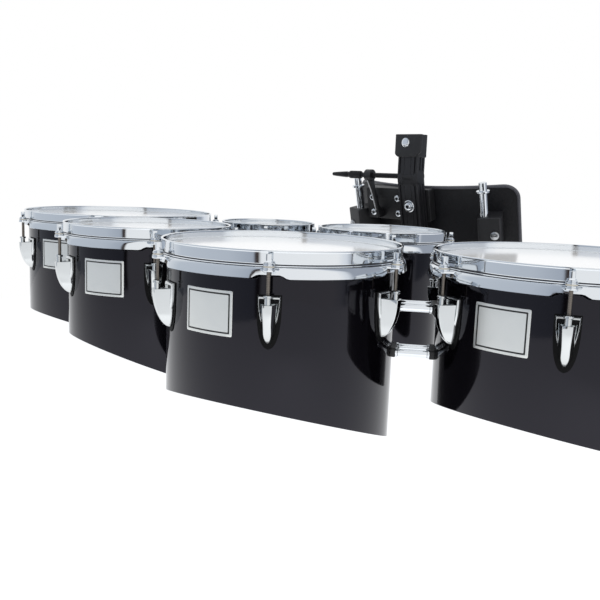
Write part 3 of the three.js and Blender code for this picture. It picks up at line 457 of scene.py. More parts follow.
def plate(outline, low, high, rounding):
    """An upright plate of the outline between two heights, its edges rounded by a quarter turn."""
    outline = np.asarray(outline, float)
    rings = []
    for height, way in ((low, 1), (high, -1)):
        quarter = np.linspace(0, math.pi / 2, 4) if way > 0 else np.linspace(math.pi / 2, 0, 4)
        for angle in quarter:
            inset = rounding * (1 - math.sin(angle))
            level = height + way * rounding * (1 - math.cos(angle))
            rings.append(level_ring(offset_outline(outline, inset), level))
    return stacked(rings)


def round_outline(points, corner, steps=5):
    """A closed outline whose corners are arcs that touch both edges at corner from the point."""
    points = np.asarray(points, float)
    back, on = unit(np.roll(points, 1, 0) - points), unit(np.roll(points, -1, 0) - points)
    share = np.linspace(0, 1, steps)[None, :, None]
    start, end = (points + back * corner)[:, None], (points + on * corner)[:, None]
    curve = start * (1 - share) ** 2 + 2 * points[:, None] * share * (1 - share) + end * share ** 2
    return curve.reshape(-1, 2)


ROD_OUT = 18.4
half_turn = np.linspace(-math.pi / 2, math.pi / 2, 17)
ear_outline = np.concatenate([
    np.column_stack([ROD_OUT + 7.6 * np.cos(half_turn), 7.6 * np.sin(half_turn)]),
    [(ROD_OUT - 4.6, 9.0), (10.2, 11.6), (10.2, 0.0), (10.2, -11.6), (ROD_OUT - 4.6, -9.0)]])
for name, drum in DRUMS.items():
    ears = at_lugs(moved(plate(ear_outline, -22.9, -20.0, 0.8), drum["radius"]), drum)
    # The grooves' faces take the dark grey painted shade finish
    ring, painted_shade_creases = [at_drum(part, drum, math.radians(drum["bearing"])) for part in hoop_ring(drum)]
    make_piece(f"counterhoop_{name}_ring", f"counterhoop_{name}", [chrome, painted_shade_grey],
               [joined(ring, ears), painted_shade_creases], replaces=[f"counterhoop_{name}"], smooth=38)


# ---------------------------------------------------------------- tension rods
# Square-headed steel rods, nickel-chromed, each through a stack of washers and the hoop's ear
# into the lug below; the shank is threaded.

# Bright nickel-chrome on rolled threads: warmer and duller than the hoop.
# The thread is drawn as lines 2 mm apart, coarser than its pitch, so that they show
threaded, tree, shader = new_finish("nickel_plate_threaded", "#6f6963", 0.3, 1.0)
add_grain(tree, shader, 0.0003, "Wave", settings=dict(bands_direction="Z", wave_profile="TRI"), Scale=160.0)
# Nylon washer between two steel ones: milky white, moulded
nylon, tree, shader = new_finish("nylon_moulded_natural", "#cfcabd", 0.45)
add_grain(tree, shader, 0.00003, Scale=1400.0)


def rectangle(x_low, x_high, y_low, y_high, corner, steps=5):
    """A rectangle with round corners, as an outline with the given steps in each corner."""
    return round_outline([(x_low, y_low), (x_high, y_low), (x_high, y_high), (x_low, y_high)], corner, steps)


def bevelled(inner, outer, low, high, bevel):
    """The profile of a turned ring whose two outer edges are bevelled."""
    return [(inner, low), (outer - bevel, low), (outer, low + bevel), (outer, high - bevel),
            (outer - bevel, high), (inner, high)]


square = rectangle(-3.3, 3.3, -3.3, 3.3, 0.8, 4)
head_part = plate(square, -13.1, -3.0, 0.5)
flange_part = turned([(0, -12.9), (5.0, -12.9), (6.0, -13.4), (6.0, -14.4), (5.5, -14.8), (0, -14.8)], 24)
shank_part = turned([(0, -15.0), (2.4, -15.0), (2.4, -73.2), (1.7, -74.0), (0, -74.0)], 16)
washer_parts = [turned(bevelled(2.45, radius, low, high, 0.3), 24)
                for radius, low, high in ((7.0, -20.0, -18.2), (6.5, -18.2, -16.6), (6.8, -16.6, -14.8))]
rod_parts = (joined(head_part, flange_part, washer_parts[0], washer_parts[2]), shank_part, washer_parts[1])
for name, drum in DRUMS.items():
    parts = [at_lugs(moved(part, drum["radius"] + ROD_OUT), drum) for part in rod_parts]
    make_piece(f"tension_rods_{name}", f"counterhoop_{name}",
               [chrome, threaded, nylon], parts)


# ---------------------------------------------------------------- lugs
# Zinc die castings, polished and chromed: a shield-shaped flange with a raised rim, a deep fin
# like a ship's prow, and a turned insert with a collar that takes the rod.

def slab(front, back):
    """A closed body between two grids of the same size: both faces and the four strips that join them."""
    faces = grid_faces(*front.shape[:2])
    parts = [(grid.reshape(-1, 3), faces) for grid in (front, back)]
    for strip in ((0,), (-1,), (slice(None), 0), (slice(None), -1)):
        side = np.stack([front[strip], back[strip]])
        parts.append((side.reshape(-1, 3), grid_faces(2, side.shape[1])))
    return joined(*parts)


LUG_TOP, LUG_POINT = -53.5, -93.0
FIN_TOP, FIN_DROP, FIN_OFF, FIN_REACH, FIN_CLOSES, FIN_TIP = -61.0, 49.5, 1.2, 23.1, -94.0, 16.6
FIN_ROOT_HALF, FIN_TAPER, FIN_FRONT_HALF, FIN_ROUND = 10.8, 0.1, 5.8, 1.5


def shield_half(t):
    """Half-width of the lug's shield, 2 + 11.2 sqrt(1 - t^2), with t from 0 at its top to 1 at its point."""
    return 2.0 + 11.2 * np.sqrt(np.clip(1 - np.clip(t, 0, 1) ** 2, 0, 1))


def lug_flange():
    """The shield: a rim about 1.6 mm wide stands 4.4 mm off the gasket; inside it the casting is scooped
    to 1 mm, and that floor is the second part, coloured near black as painted shade."""
    t = np.concatenate([[0, 0.012, 0.03, 0.055, 0.075, 0.095, 0.12, 0.16], np.linspace(0.22, 1, 24)])[:, None]
    s = np.sin(np.linspace(-math.pi / 2, math.pi / 2, 45))[None, :]
    half = shield_half(t)
    edge, top = half * (1 - np.abs(s)), (LUG_TOP - LUG_POINT) * t + 0 * s
    corner = np.minimum(eased(edge, 0, 0.8), eased(top, -0.01, 0.8))
    recess = eased(edge, 1.3, 2.1) * eased(top, 3.2, 4.6)
    height = 1.2 + 3.2 * (0.35 + 0.65 * corner) - 3.4 * recess
    y, z = s * half, LUG_TOP - top
    front = np.stack([height, y + 0 * z, z], -1)
    back = np.stack([0 * height + 0.2, y + 0 * z, z], -1)
    points, faces = slab(front, back)
    deep = np.concatenate([recess.ravel() > 0.85, np.zeros(len(points) - recess.size, bool)])
    return split((points, faces), deep[faces].all(1))


def lug_fin():
    """The fin: level by level down a quarter turn, reach 1.2 + 23.1 (cos a)^1.1 and drop 49.5 sin a. Its
    section is a wedge, half-width 10.8 at the shield and in by 0.1 for each mm down. Its blunt front has
    half-width 5.8, falling to 4.7; below z = -94 it closes to a tip, front as (1 - u^2)^0.75 and back as
    its root."""
    a = np.concatenate([[0, 0, 0.02], np.linspace(0.06, math.pi / 2 - 0.01, 34)])[:, None]
    share, first = np.sin(a), np.arange(len(a))[:, None] == 0
    level = FIN_TOP - FIN_DROP * share - np.where(first, 0.0, 0.3) * (share < 0.01)
    end = np.clip((FIN_CLOSES - level) / FIN_TIP, 0, 1)
    close = np.maximum(1 - end ** 2, 0.0004) ** 0.75
    front = (FIN_FRONT_HALF - 1.1 * eased(-level, 61, 90)) * close - 0.5 * first
    reach = FIN_OFF + FIN_REACH * np.cos(a) ** 1.1 - 0.5 * first
    root = 0.6
    foot = np.maximum(np.minimum(3.9, reach * 0.4), root + 0.1)
    root_half = (FIN_ROOT_HALF - FIN_TAPER * (FIN_TOP - level)) * close ** 0.67
    back = np.maximum(root_half, front + 0.05) - 0.5 * first
    round_by = np.minimum(np.minimum(FIN_ROUND, front * 0.85), (reach - foot) * 0.8)
    flank = np.array([0.0, 0.06, 0.5, 0.94, 1.0])[None, :]
    corner = np.radians([15, 32, 50, 68, 90])[None, :]
    x = np.concatenate([root + 0 * reach, foot + (reach - round_by - foot) * flank,
                        reach - round_by + round_by * np.sin(corner)], 1)
    y = np.concatenate([-back, -back + (back - front) * flank, -front + round_by * (1 - np.cos(corner))], 1)
    x, y = np.concatenate([x, reach, x[:, ::-1]], 1), np.concatenate([y, 0 * reach, -y[:, ::-1]], 1)
    slope = 0.6 * (1 - x / (FIN_OFF + FIN_REACH)) * (share < 0.03)
    return stacked(np.stack([x, y, level + slope], -1))


insert = [(2.9, -50.3), (4.7, -50.3), (5.5, -50.9), (5.5, -53.0), (4.9, -53.6), (3.9, -53.8), (3.9, -64.0),
          (2.9, -64.0)]
lug_shield, lug_scoop_shade = lug_flange()
lug_casting = joined(lug_shield, lug_fin(), moved(turned(insert, 24), ROD_OUT))
# Chromium on a polished zinc casting: softer waves than rolled steel shows
cast_chrome, tree, shader = new_finish("chrome_plate_on_zinc", "#cfd2d3", 0.05, 1.0)
add_polish(tree, shader, 0.00018)
# Painted shade in the lug's scoops: the floor is coloured near black, grainy, where shade falls in the hollow
painted_recess_shade, tree, shader = new_finish("painted_recess_shade_zinc", "#1b1b1e", 0.5, 0.7)
add_grain(tree, shader, 0.00005, Scale=1000.0, Detail=2.0)
for name, drum in DRUMS.items():
    castings, painted_shade_scoops = [at_lugs(moved(part, drum["radius"] + 0.9), drum) for part in (lug_casting, lug_scoop_shade)]
    nodes = [f"lug_{name}{number + 1}" for number in range(drum["lugs"])] if drum["radius"] > 120 else []
    make_piece(f"lugs_{name}", "drums", [cast_chrome, painted_recess_shade], [castings, painted_shade_scoops],
               replaces=nodes, smooth=36)


# ---------------------------------------------------------------- lug gaskets and screws
# A black rubber gasket under each lug keeps the casting off the lacquer, and two screws with
# washers hold the lug from inside the shell.

# Cut rubber sheet, fine matt grain
rubber, tree, shader = new_finish("rubber_sheet_black", "#060607", 0.6, Specular_IOR_Level=0.15)
add_grain(tree, shader, 0.00005, Scale=1300.0, Detail=2.0)
# Zinc-plated screw, faintly brushed by the driver
zinc, tree, shader = new_finish("zinc_plated_steel", "#b4b6b8", 0.3, 1.0)
add_grain(tree, shader, 0.00003, Scale=700.0, Detail=3.0)


def on_shell(part, radius):
    """Wraps a part modelled flat, x off the shell and y along it, round the shell: bearing y / radius."""
    points, faces = part
    return round_z(radius + points[:, 0], points[:, 1] / radius, points[:, 2]), faces


def gasket_sheet():
    """A flat sheet whose half-width is 14.6 sqrt(1 - t^3.2), from 1 mm above the lug to 6.5 mm below it."""
    t = np.linspace(0, 1, 30)[:, None] ** 0.8
    s = np.linspace(-1, 1, 15)[None, :]
    half = np.maximum(14.6 * np.sqrt(np.clip(1 - t ** 3.2, 0, 1)), 0.4)
    y, z = half * s, -52.4 - 64.6 * t + 0 * s
    return slab(np.stack([0.95 + 0 * y, y, z], -1), np.stack([0.02 + 0 * y, y, z], -1))


def aimed(part, place, way):
    """Turns a part that was made along Z to point along way, and moves it to place."""
    way = unit(np.asarray(way, float))
    helper = np.array([0.0, 0.0, 1.0]) if abs(way[2]) < 0.9 else np.array([1.0, 0.0, 0.0])
    side = unit(np.cross(helper, way))
    return part[0] @ np.stack([side, np.cross(way, side), way]) + place, part[1]


pan_head = turned([(0, 0), (4.2, 0), (4.2, 0.9), (3.6, 2.0), (2.2, 2.7),
                   (0.9, 2.9), (0.9, 2.0), (0, 2.0)], 16)
wide_washer = turned([(0, -0.2), (6.5, -0.2), (6.5, 0.8), (6.1, 1.1), (0, 1.1)], 20)
for name, drum in DRUMS.items():
    face = drum["radius"]
    gaskets = at_lugs(on_shell(gasket_sheet(), face), drum)
    make_piece(f"lug_gaskets_{name}", "drums", [rubber], [gaskets])
    screws = [aimed(joined(pan_head, wide_washer), (face - SHELL_WALL, 0, height), (-1, 0, 0))
              for height in (-66, -86)]
    make_piece(f"lug_screws_{name}", "drums", [zinc], [at_lugs(joined(*screws), drum)])


# ---------------------------------------------------------------- badges
# A thin silver plate bent to each large shell, midway between two front lugs, with a narrow
# black line near its edge. The field inside the line is bare.

# Satin silver foil on aluminium, brushed across
silver, tree, shader = new_finish("anodised_aluminium_silver", "#dfe1df", 0.3, 0.65)
add_grain(tree, shader, 0.00002, stretch=(30.0, 30.0, 2500.0), Scale=1.0, Detail=3.0)
# Printed black ink line
ink, tree, shader = new_finish("screen_ink_black", "#0c0c0c", 0.4)
add_grain(tree, shader, 0.00001, Scale=1500.0)

BADGE_HALF_WIDE, BADGE_HALF_HIGH, BADGE_Z = 35.2, 27.4, -78.6


def badge_ring(inset, lift, corner, steps, shares, shrink=1.0):
    """The badge's outline inset from its edge and lifted off the shell, with points at the given shares
    of its long edges, and shrunk towards its middle."""
    w, h = BADGE_HALF_WIDE - inset, BADGE_HALF_HIGH - inset
    outline = rectangle(-w, w, -h, h, corner, steps)
    edge = shrink * np.concatenate([outline[:steps], [(w * x, -h) for x in shares], outline[steps:3 * steps],
                                    [(w * x, h) for x in shares[::-1]], outline[3 * steps:]])
    return np.column_stack([np.full(len(edge), lift), edge[:, 0], BADGE_Z + edge[:, 1]])


# The plate from its back to its face, which shrinks to the middle, and the closed band of the line on it
PLATE_LIFT, LINE_INSET, LINE_WIDE, LINE_LIFT = 0.8, 3.2, 1.9, 0.83
badge_plate = skinned([badge_ring(0, lift, 2.0, 4, (-0.6, -0.2, 0.2, 0.6), shrink) for lift, shrink in (
    (0.02, 0.0), (0.02, 1.0), (PLATE_LIFT - 0.3, 1.0), (PLATE_LIFT, 0.985), (PLATE_LIFT, 0.9),
    (PLATE_LIFT, 0.7), (PLATE_LIFT, 0.4), (PLATE_LIFT, 0.0))])
badge_line = skinned([badge_ring(inset, lift, 0.9, 3, np.linspace(-0.9, 0.9, 15)) for inset, lift in (
    (LINE_INSET, 0.7), (LINE_INSET, LINE_LIFT), (LINE_INSET + LINE_WIDE, LINE_LIFT),
    (LINE_INSET + LINE_WIDE, 0.7))], True)
for name in "abcd":
    drum = DRUMS[name]
    bearing = math.radians(drum["bearing"] + 180 / drum["lugs"])
    parts = [at_drum(on_shell(part, drum["radius"]), drum, bearing) for part in (badge_plate, badge_line)]
    make_piece(f"badge_{name}", "drums", [silver, ink], parts)


# ---------------------------------------------------------------- rack
# Pairs of chromed steel tubes between neighbouring shells, one pair high and one low. Each pair
# ends in small black cast fittings, curved to the shells and held by screws.

# Powder-coated casting: satin black, fine pebble about 0.9 mm across
powder, tree, shader = new_finish("powder_coat_black", "#161618", 0.42)
add_grain(tree, shader, 0.00006, "Voronoi", Scale=1100.0)

RAIL_HEIGHTS, RAIL_APART, RAIL_RADIUS = (-79.0, -139.0), 34.0, 4.8
PAD_THICK, PAD_HALF_WIDE, PAD_HALF_HIGH = 7.0, 22.0, 6.4


def tube(path, radius, sides=24):
    """A round bar along a path: at each point a ring of the radius, square to the path's direction."""
    path = np.asarray(path, float)
    way = unit(np.gradient(path, axis=0))
    helper = np.array([1.0, 0, 0]) if abs(way[0][0]) < 0.9 else np.array([0, 0, 1.0])
    side = unit(np.cross(way, helper))
    other = np.cross(way, side)
    angle = full_turn(sides)
    ring = side[:, None] * np.cos(angle)[None, :, None] + other[:, None] * np.sin(angle)[None, :, None]
    return stacked(path[:, None] + radius * ring)


def rail_pairs(stations, heights, radius):
    """Tubes along x through the stations, two side by side at each height."""
    return [tube([(x, side * RAIL_APART / 2, z) for x in stations], radius)
            for z in heights for side in (-1, 1)]


def curved_pad(face_radius, low, high):
    """A fitting bent to the shell, x off its face and y along it, its edge rounded by 1.6 mm."""
    outline = rectangle(-PAD_HALF_WIDE, PAD_HALF_WIDE, low, high, 4.0, 6)
    middle = (0, (low + high) / 2)
    rings = []
    for depth, inset, shrink in ((0.35, 1e-3, 1), (0.35, 0.0, 1), (5.4, 0.0, 1), (6.5, 0.5, 1),
                                 (PAD_THICK, 1.6, 1), (PAD_THICK, 1.6, 0.66), (PAD_THICK, 1.6, 0.33)):
        ring = offset_outline(outline, inset)
        if shrink < 1:
            ring = middle + (ring - middle) * shrink
        rings.append(np.column_stack([np.full(len(ring), depth), ring]))
    return on_shell(stacked(rings), face_radius)


def rack_end(face_radius, heights):
    """What bolts to a shell for each pair of tubes: the fitting, a ferrule round each tube, two screws."""
    pads, ferrules, screws = [], [], []
    ferrule = turned([(0, 0), (6.0, 0), (6.0, 2.4), (5.5, 3.0), (0, 3.0)], 28)
    for z in heights:
        pads.append(curved_pad(face_radius, z - PAD_HALF_HIGH, z + PAD_HALF_HIGH))
        for parts, part, depth, aside in ((ferrules, ferrule, PAD_THICK - 1.4, RAIL_APART / 2),
                                          (screws, pan_head, PAD_THICK - 0.2, 5.2)):
            parts += [aimed(part, (face_radius + depth, side * aside, z), (1, 0, 0)) for side in (-1, 1)]
    return joined(*pads), joined(*ferrules), joined(*screws)


for first, second in ("ab", "bc", "cd", "be", "cf"):
    near, far = DRUMS[first], DRUMS[second]
    gap = np.subtract(far["centre"], near["centre"])
    apart, bearing = math.hypot(*gap), math.atan2(gap[1], gap[0])
    rails = rail_pairs((near["radius"] + 5, apart / 2, apart - far["radius"] - 5), RAIL_HEIGHTS, RAIL_RADIUS)
    near_pad, near_ferrules, near_screws = rack_end(near["radius"], RAIL_HEIGHTS)
    far_pad, far_ferrules, far_screws = [(part[0] * (-1, -1, 1) + (apart, 0, 0), part[1])
                                         for part in rack_end(far["radius"], RAIL_HEIGHTS)]
    parts = [at_drum(joined(*group), near, bearing)
             for group in (rails + [near_ferrules, far_ferrules], (near_pad, far_pad),
                           (near_screws, far_screws))]
    make_piece(f"rack_bridge_{first}{second}", "drums", [chrome, powder, zinc], parts,
               replaces=[f"bridge_{first}{second}"])


# ---------------------------------------------------------------- rear rack
# Two cross tubes behind the small drums, with pads to those drums and a capped cup at each end
# that drops over a hook bar of the carrier.

REAR_HEIGHTS, REAR_Y, BAR_X = (-108.0, -139.0), 456.0, 147.0
rails = [tube([(-BAR_X, REAR_Y, z), (0, REAR_Y, z), (BAR_X, REAR_Y, z)], RAIL_RADIUS) for z in REAR_HEIGHTS]
blacks, screws = [], []
for name in "ef":
    drum = DRUMS[name]
    reach = REAR_Y - drum["centre"][1]
    arms = rail_pairs((drum["radius"] + 5, reach - 8, reach), REAR_HEIGHTS, RAIL_RADIUS - 0.3)
    pad_part, ferrules, screw_part = rack_end(drum["radius"], REAR_HEIGHTS)
    if name == "f":
        # One taller fitting that both pairs share, with a screw at its middle
        pad_part = curved_pad(drum["radius"], -149, -98)
        screw_part = aimed(pan_head, (drum["radius"] + PAD_THICK, 0, -123.5), (1, 0, 0))
    for group, part in ((rails, joined(*arms)), (rails, ferrules), (blacks, pad_part), (screws, screw_part)):
        group.append(at_drum(part, drum, math.pi / 2))
cup = [(7.95, -150), (12.4, -150), (13.2, -149), (13.2, -97.5), (12.0, -95.2), (9.0, -94.7), (0, -94.7),
       (0, -99.6), (7.95, -99.6)]
blacks += [moved(turned(cup, 40), side * BAR_X, REAR_Y) for side in (-1, 1)]
make_piece("rear_rack_tubes", "drums", [chrome, powder, zinc],
           [joined(*rails), joined(*blacks), joined(*screws)], replaces=["rear_rack"])


# ---------------------------------------------------------------- post
# The carrier's spine: a black anodised extrusion, grooved down its front and sides. It hinges on the
# tilt screw, and its lower half leans back with the belly plate under one big socket bolt.

# Black anodised aluminium: satin, with die lines along the extrusion 0.4 mm apart
anodised, tree, shader = new_finish("anodised_aluminium_black", "#232326", 0.36, 0.35)
add_grain(tree, shader, 0.00002, stretch=(2500.0, 2500.0, 12.0), Scale=1.0, Detail=2.0)

POST_Y, HINGE_Z, LEAN = 515.0, 91.0, math.radians(14)
KNUCKLE, KNUCKLE_ROOM, PIN_ROOM = 13.0, 13.3, 5.3


def leaned(part):
    """Turns a part of the belly unit about the tilt screw's axis, from upright to its resting lean."""
    points, faces = part
    y, z = points[:, 1] - POST_Y, points[:, 2] - HINGE_Z
    cosine, sine = math.cos(LEAN), math.sin(LEAN)
    y, z = POST_Y + y * cosine - z * sine, HINGE_Z + y * sine + z * cosine
    return np.stack([points[:, 0], y, z], -1), faces


# The extrusion's section: half of it from front to back, x and y, then its mirror image
half_post = [
    (6.6, 502.0), (6.9, 502.6), (8.1, 502.6), (8.4, 502.0), (15.0, 502.0), (15.3, 504.2), (18.9, 504.2),
    (19.2, 502.0), (22.4, 502.0), (23.2, 502.8), (23.2, 508.2), (21.8, 508.5), (21.8, 511.5), (23.2, 511.8),
    (23.2, 517.0), (21.9, 517.3), (21.9, 520.3), (23.2, 520.6), (23.2, 525.6), (22.4, 526.4)]
post_outline = np.array(half_post + [(-x, y) for x, y in reversed(half_post)])


def crosswise(profile, x_low, steps=36):
    """A turned part laid along the hinge's axis, from x_low towards +X."""
    return aimed(turned(profile, steps), (x_low, POST_Y, HINGE_Z), (1, 0, 0))


def to_front(part, place):
    """A part made along Z, set at the place and pointing to the front, -Y."""
    return aimed(part, place, (0, -1, 0))


def box_of(x_low, x_high, y_low, y_high, low, high, corner=1.0, rounding=0.3):
    """An upright bar with round corners between the six given planes."""
    return plate(rectangle(x_low, x_high, y_low, y_high, corner, 3), low, high, rounding)


def socket_bolt(radius, low, high, hexagon):
    """A pan head with a hexagon socket. The socket's rings have the radius h / cos(a - nearest 60 degree
    step) with h half its width across flats; its walls and floor are the second part, coloured as painted
    shade."""
    high_by = high - low
    rim = [(0, low), (radius, low), (radius, low + high_by * 0.35), (radius * 0.94, low + high_by * 0.68),
           (radius * 0.76, low + high_by * 0.92), (radius * 0.62, high), (hexagon * 1.22, high)]
    painted_shade_well = [(1.0, high - 0.4), (1.0, low + 0.6), (0.0, low + 0.6)]
    steps = 48
    angle = 2 * math.pi * np.arange(steps) / steps
    off_flat = (angle + math.pi / 6) % (math.pi / 3) - math.pi / 6
    wall = hexagon / np.cos(off_flat)
    rings = [round_z(r, angle, z) for r, z in rim] + [round_z(k * wall, angle, z) for k, z in painted_shade_well]
    part = skinned(rings)
    return split(part, np.arange(len(part[1])) >= len(rim) * steps)


shrink = np.array([0.02, 0.25, 0.45, 0.62, 0.78, 0.9, 1.0])[:, None, None]
foot_rings = (post_outline - (0, POST_Y)) * shrink + (0, POST_Y)
over_knuckle = HINGE_Z + np.sqrt(np.maximum(KNUCKLE_ROOM ** 2 - (foot_rings[..., 1] - POST_Y) ** 2, 0))
lip = np.where(foot_rings[..., 1] < POST_Y, 94.2, 98.0)
foot_rings = np.concatenate([foot_rings, np.maximum(over_knuckle, lip)[..., None]], -1)
upper = stacked([*foot_rings, level_ring(post_outline, 165.7)])
tongue = box_of(-10, 10, 502.5, 527.5, 92, 105)
eye = crosswise(bevelled(PIN_ROOM, KNUCKLE, 0.0, 20.0, 0.8), -10)
make_piece("post_upper_extrusion", "post", [anodised], [joined(upper, tongue, eye)],
           replaces=["post_upper"], smooth=30)

left_cheek = bevelled(PIN_ROOM, KNUCKLE, 0.0, 13.0, 0.6)
right_cheek = left_cheek[:-1] + [(0, 13.0), (0, 10.9), (PIN_ROOM, 10.9)]
lower = [plate(post_outline, -46.0, 77.7, 0.2), crosswise(left_cheek, -23.3), crosswise(right_cheek, 10.3)]
lower += [box_of(low, low + 12.8, 502.0, 526.4, 76.0, 91.0, 0.8, 0.2) for low in (-23.2, 10.3)]
# Saddle under the eye: its top follows a circle of the knuckle's room, so the front stays closed as it tilts
across, through = np.array([-10.1, 10.1])[:, None], np.linspace(502.05, 526.3, 26)[None, :]
saddle = HINGE_Z - np.sqrt(np.maximum(13.4 ** 2 - (through - POST_Y) ** 2, 0)) + 0 * across
saddle = np.where(through > POST_Y, np.minimum(saddle, 83.0), saddle)
saddle_top = np.stack([across + 0 * through, through + 0 * across, saddle], -1)
lower.append(slab(saddle_top, saddle_top * (1, 1, 0) + (0, 0, 74.0)))
lower.append(box_of(-11, 11, 502.1, 512, 24, 46, 0.5))
bolt_place = (0, 502.2, 35)
washer = to_front(turned([(0, 0), (11.2, 0), (11.8, 0.6), (11.8, 1.8), (10.6, 2.8), (0, 2.8)], 40),
                  bolt_place)
# The socket's walls and floor are coloured dark grey as painted shade
bolt, painted_shade_well = [to_front(part, bolt_place) for part in socket_bolt(7.4, 2.6, 7.8, 3.6)]
make_piece("post_lower_extrusion", "belly", [anodised, chrome, painted_shade_grey],
           [leaned(joined(*lower)), leaned(joined(washer, bolt)), leaned(painted_shade_well)],
           replaces=["post_lower"], smooth=30)


# ---------------------------------------------------------------- sleeve
# A folded aluminium box round the top of the post with a thicker front face, its lower corners cut
# off; a domed chrome bolt clamps it. The harness bolts to its flat top.

SLEEVE_FRONT = 498.4


def facing_front(outline, y_front, y_back, rounding=0.8):
    """A plate whose outline is in x and z, between two y places."""
    points, faces = plate(outline, -y_back, -y_front, rounding)
    return np.stack([points[:, 0], -points[:, 2], points[:, 1]], -1), faces


outside, inside = rectangle(-24.9, 24.9, 500.0, 528.0, 1.8), rectangle(-23.5, 23.5, 501.7, 526.7, 0.6)
box_rings = [level_ring(ring, z) for ring, z in (
    (inside, 166.0), (inside, 128.4), (offset_outline(outside, 0.4), 128.0), (outside, 128.5),
    (outside, 170.2), (offset_outline(outside, 0.8), 171.0))]
face_outline = round_outline([(-29.5, 133.5), (-25.5, 129.2), (-8, 128.0), (10, 128.2), (21, 130.2),
                              (29.5, 136.4), (29.5, 171), (-29.5, 171)], 1.6, 5)
face_plate = facing_front(face_outline, SLEEVE_FRONT, 502.0, 1.1)
flanges = [box_of(*sorted((side * 24.8, side * 29.5)), 501.0, 505.0, 137.0, 171.0, 1.2, 0.8)
           for side in (-1, 1)]
dome = [(0, -0.4), (9.4, -0.4), (9.4, 0.8), (8.6, 2.7), (6.6, 4.2), (3.6, 4.9), (0, 5.0)]
dome_place = (-4, SLEEVE_FRONT, 155)
make_piece("sleeve_clamp", "sleeve", [powder, chrome],
           [joined(stacked(box_rings), face_plate, *flanges), to_front(turned(dome, 32), dome_place)],
           replaces=["sleeve"], smooth=30)


# ---------------------------------------------------------------- tilt screw
# A black-oxide steel screw that lies across the post: tapered tommy end, knurled grip, then a
# threaded pin through the bracket's eye and the post's hinge.

# Black oxide on turned steel: dark, slightly oily sheen; knurl lines follow the X axis 1.5 mm apart
oxide, tree, shader = new_finish("black_oxide_steel", "#1d1d1f", 0.32, 0.7)
add_grain(tree, shader, 0.00012, "Wave", settings=dict(bands_direction="X", wave_profile="SIN"), Scale=210.0)


def knurled(x_low, x_high, radius, ridges):
    """A grip whose radius ripples by 0.45 mm with the angle, ridges times round."""
    wide = x_high - x_low
    x = np.concatenate([[0, 0.8, 1.6], np.linspace(3, wide - 3, 6), [wide - 1.6, wide - 0.8, wide]])
    edge = np.array([1.6, 0.6, 0.2] + [0.0] * 6 + [0.2, 0.6, 1.6])
    angle = full_turn(ridges * 6)
    r = (radius - edge)[:, None] - 0.45 * (0.5 + 0.5 * np.cos(ridges * angle))[None, :]
    return stacked(np.stack([x_low + x[:, None] + 0 * angle, POST_Y + r * np.cos(angle),
                             HINGE_Z + r * np.sin(angle)], -1))


handle = [(0, 0), (2.8, 0), (3.5, 0.9), (4.6, 12.0), (5.7, 28.0), (6.2, 38.0), (5.7, 40.4), (5.7, 47.2)]
pin = [(0, 0), (5.0, 0), (5.0, 134), (3.6, 140), (1.0, 142.6), (0, 142.6)]
screw = joined(crosswise(handle, -198), knurled(-152, -122, 7.8, 26), crosswise(pin, -122))
make_piece("tilt_screw_turned", "tilt_screw", [oxide], [screw], replaces=["tilt_screw"])


# ---------------------------------------------------------------- bracket
# A black plate between post and belly plate, held by four socket bolts, with a forged lever whose
# eye carries the tilt screw. The lever's outer edge is coloured light bare aluminium as a painted highlight.

PLATE_HALF, PLATE_SAG, PLATE_FRONT = 190.0, 49.0, 545.0
PLATE_RADIUS = (PLATE_HALF ** 2 + PLATE_SAG ** 2) / (2 * PLATE_SAG)


def to_plate(part):
    """Presses the back of a part on to the belly plate: points behind the plate's curve move up to it."""
    points, faces = part[0].copy(), part[1]
    x = np.clip(points[:, 0], -220, 220)
    curve = PLATE_FRONT + PLATE_RADIUS - np.sqrt(PLATE_RADIUS ** 2 - x ** 2) - 0.4
    points[:, 1] = np.minimum(points[:, 1], curve)
    return points, faces


def squared(wave):
    """A sine or cosine pushed towards a square wave: its sign times the root of its size."""
    return np.sign(wave) * np.abs(wave) ** 0.5


def lever():
    """Level by level from the eye, 87 mm down and slanting 10 degrees to +X. Half-depth falls from 10.8
    to 5 mm; its foot, below 70 mm, reaches the plate. The front edge, coloured as a painted highlight, is the
    second part."""
    level = np.linspace(0, -87, 30)[:, None]
    middle = -101.0 - level * math.tan(math.radians(10))
    front = -5.0 - 5.8 * eased(level, -42, 2)
    back = 5.0 + 5.8 * eased(level, -30, 2) + 8.6 * eased(-level, 64, 74)
    angle = full_turn(32)[None, :]
    x = middle + 4.0 * squared(np.cos(angle))
    y = POST_Y + (front + back) / 2 + (back - front) / 2 * squared(np.sin(angle))
    part = stacked(np.stack([x, y, HINGE_Z + level + 0 * x], -1))
    column, row = np.arange(len(part[1])) % 32, np.arange(len(part[1])) // 32
    return split(part, (column >= 20) & (column <= 23) & (row > 3) & (row < 25))


# Painted highlight along the lever's edge: light aluminium colour, with fine scratches along the part
painted_highlight_aluminium, tree, shader = new_finish("lever_edge_painted_highlight", "#c9cacc", 0.36, 0.8)
add_grain(tree, shader, 0.00003, stretch=(1800.0, 1800.0, 60.0), Scale=1.0, Detail=3.0)

BRACKET_FRONT = 528.3
base = to_plate(facing_front(rectangle(-124, 30, -2, 62, 4), BRACKET_FRONT, 552, 1.0))
lever_body, lever_highlight_edge = lever()
lever_eye = crosswise(bevelled(PIN_ROOM, 11.5, 0.0, 16.0, 0.9), -109)
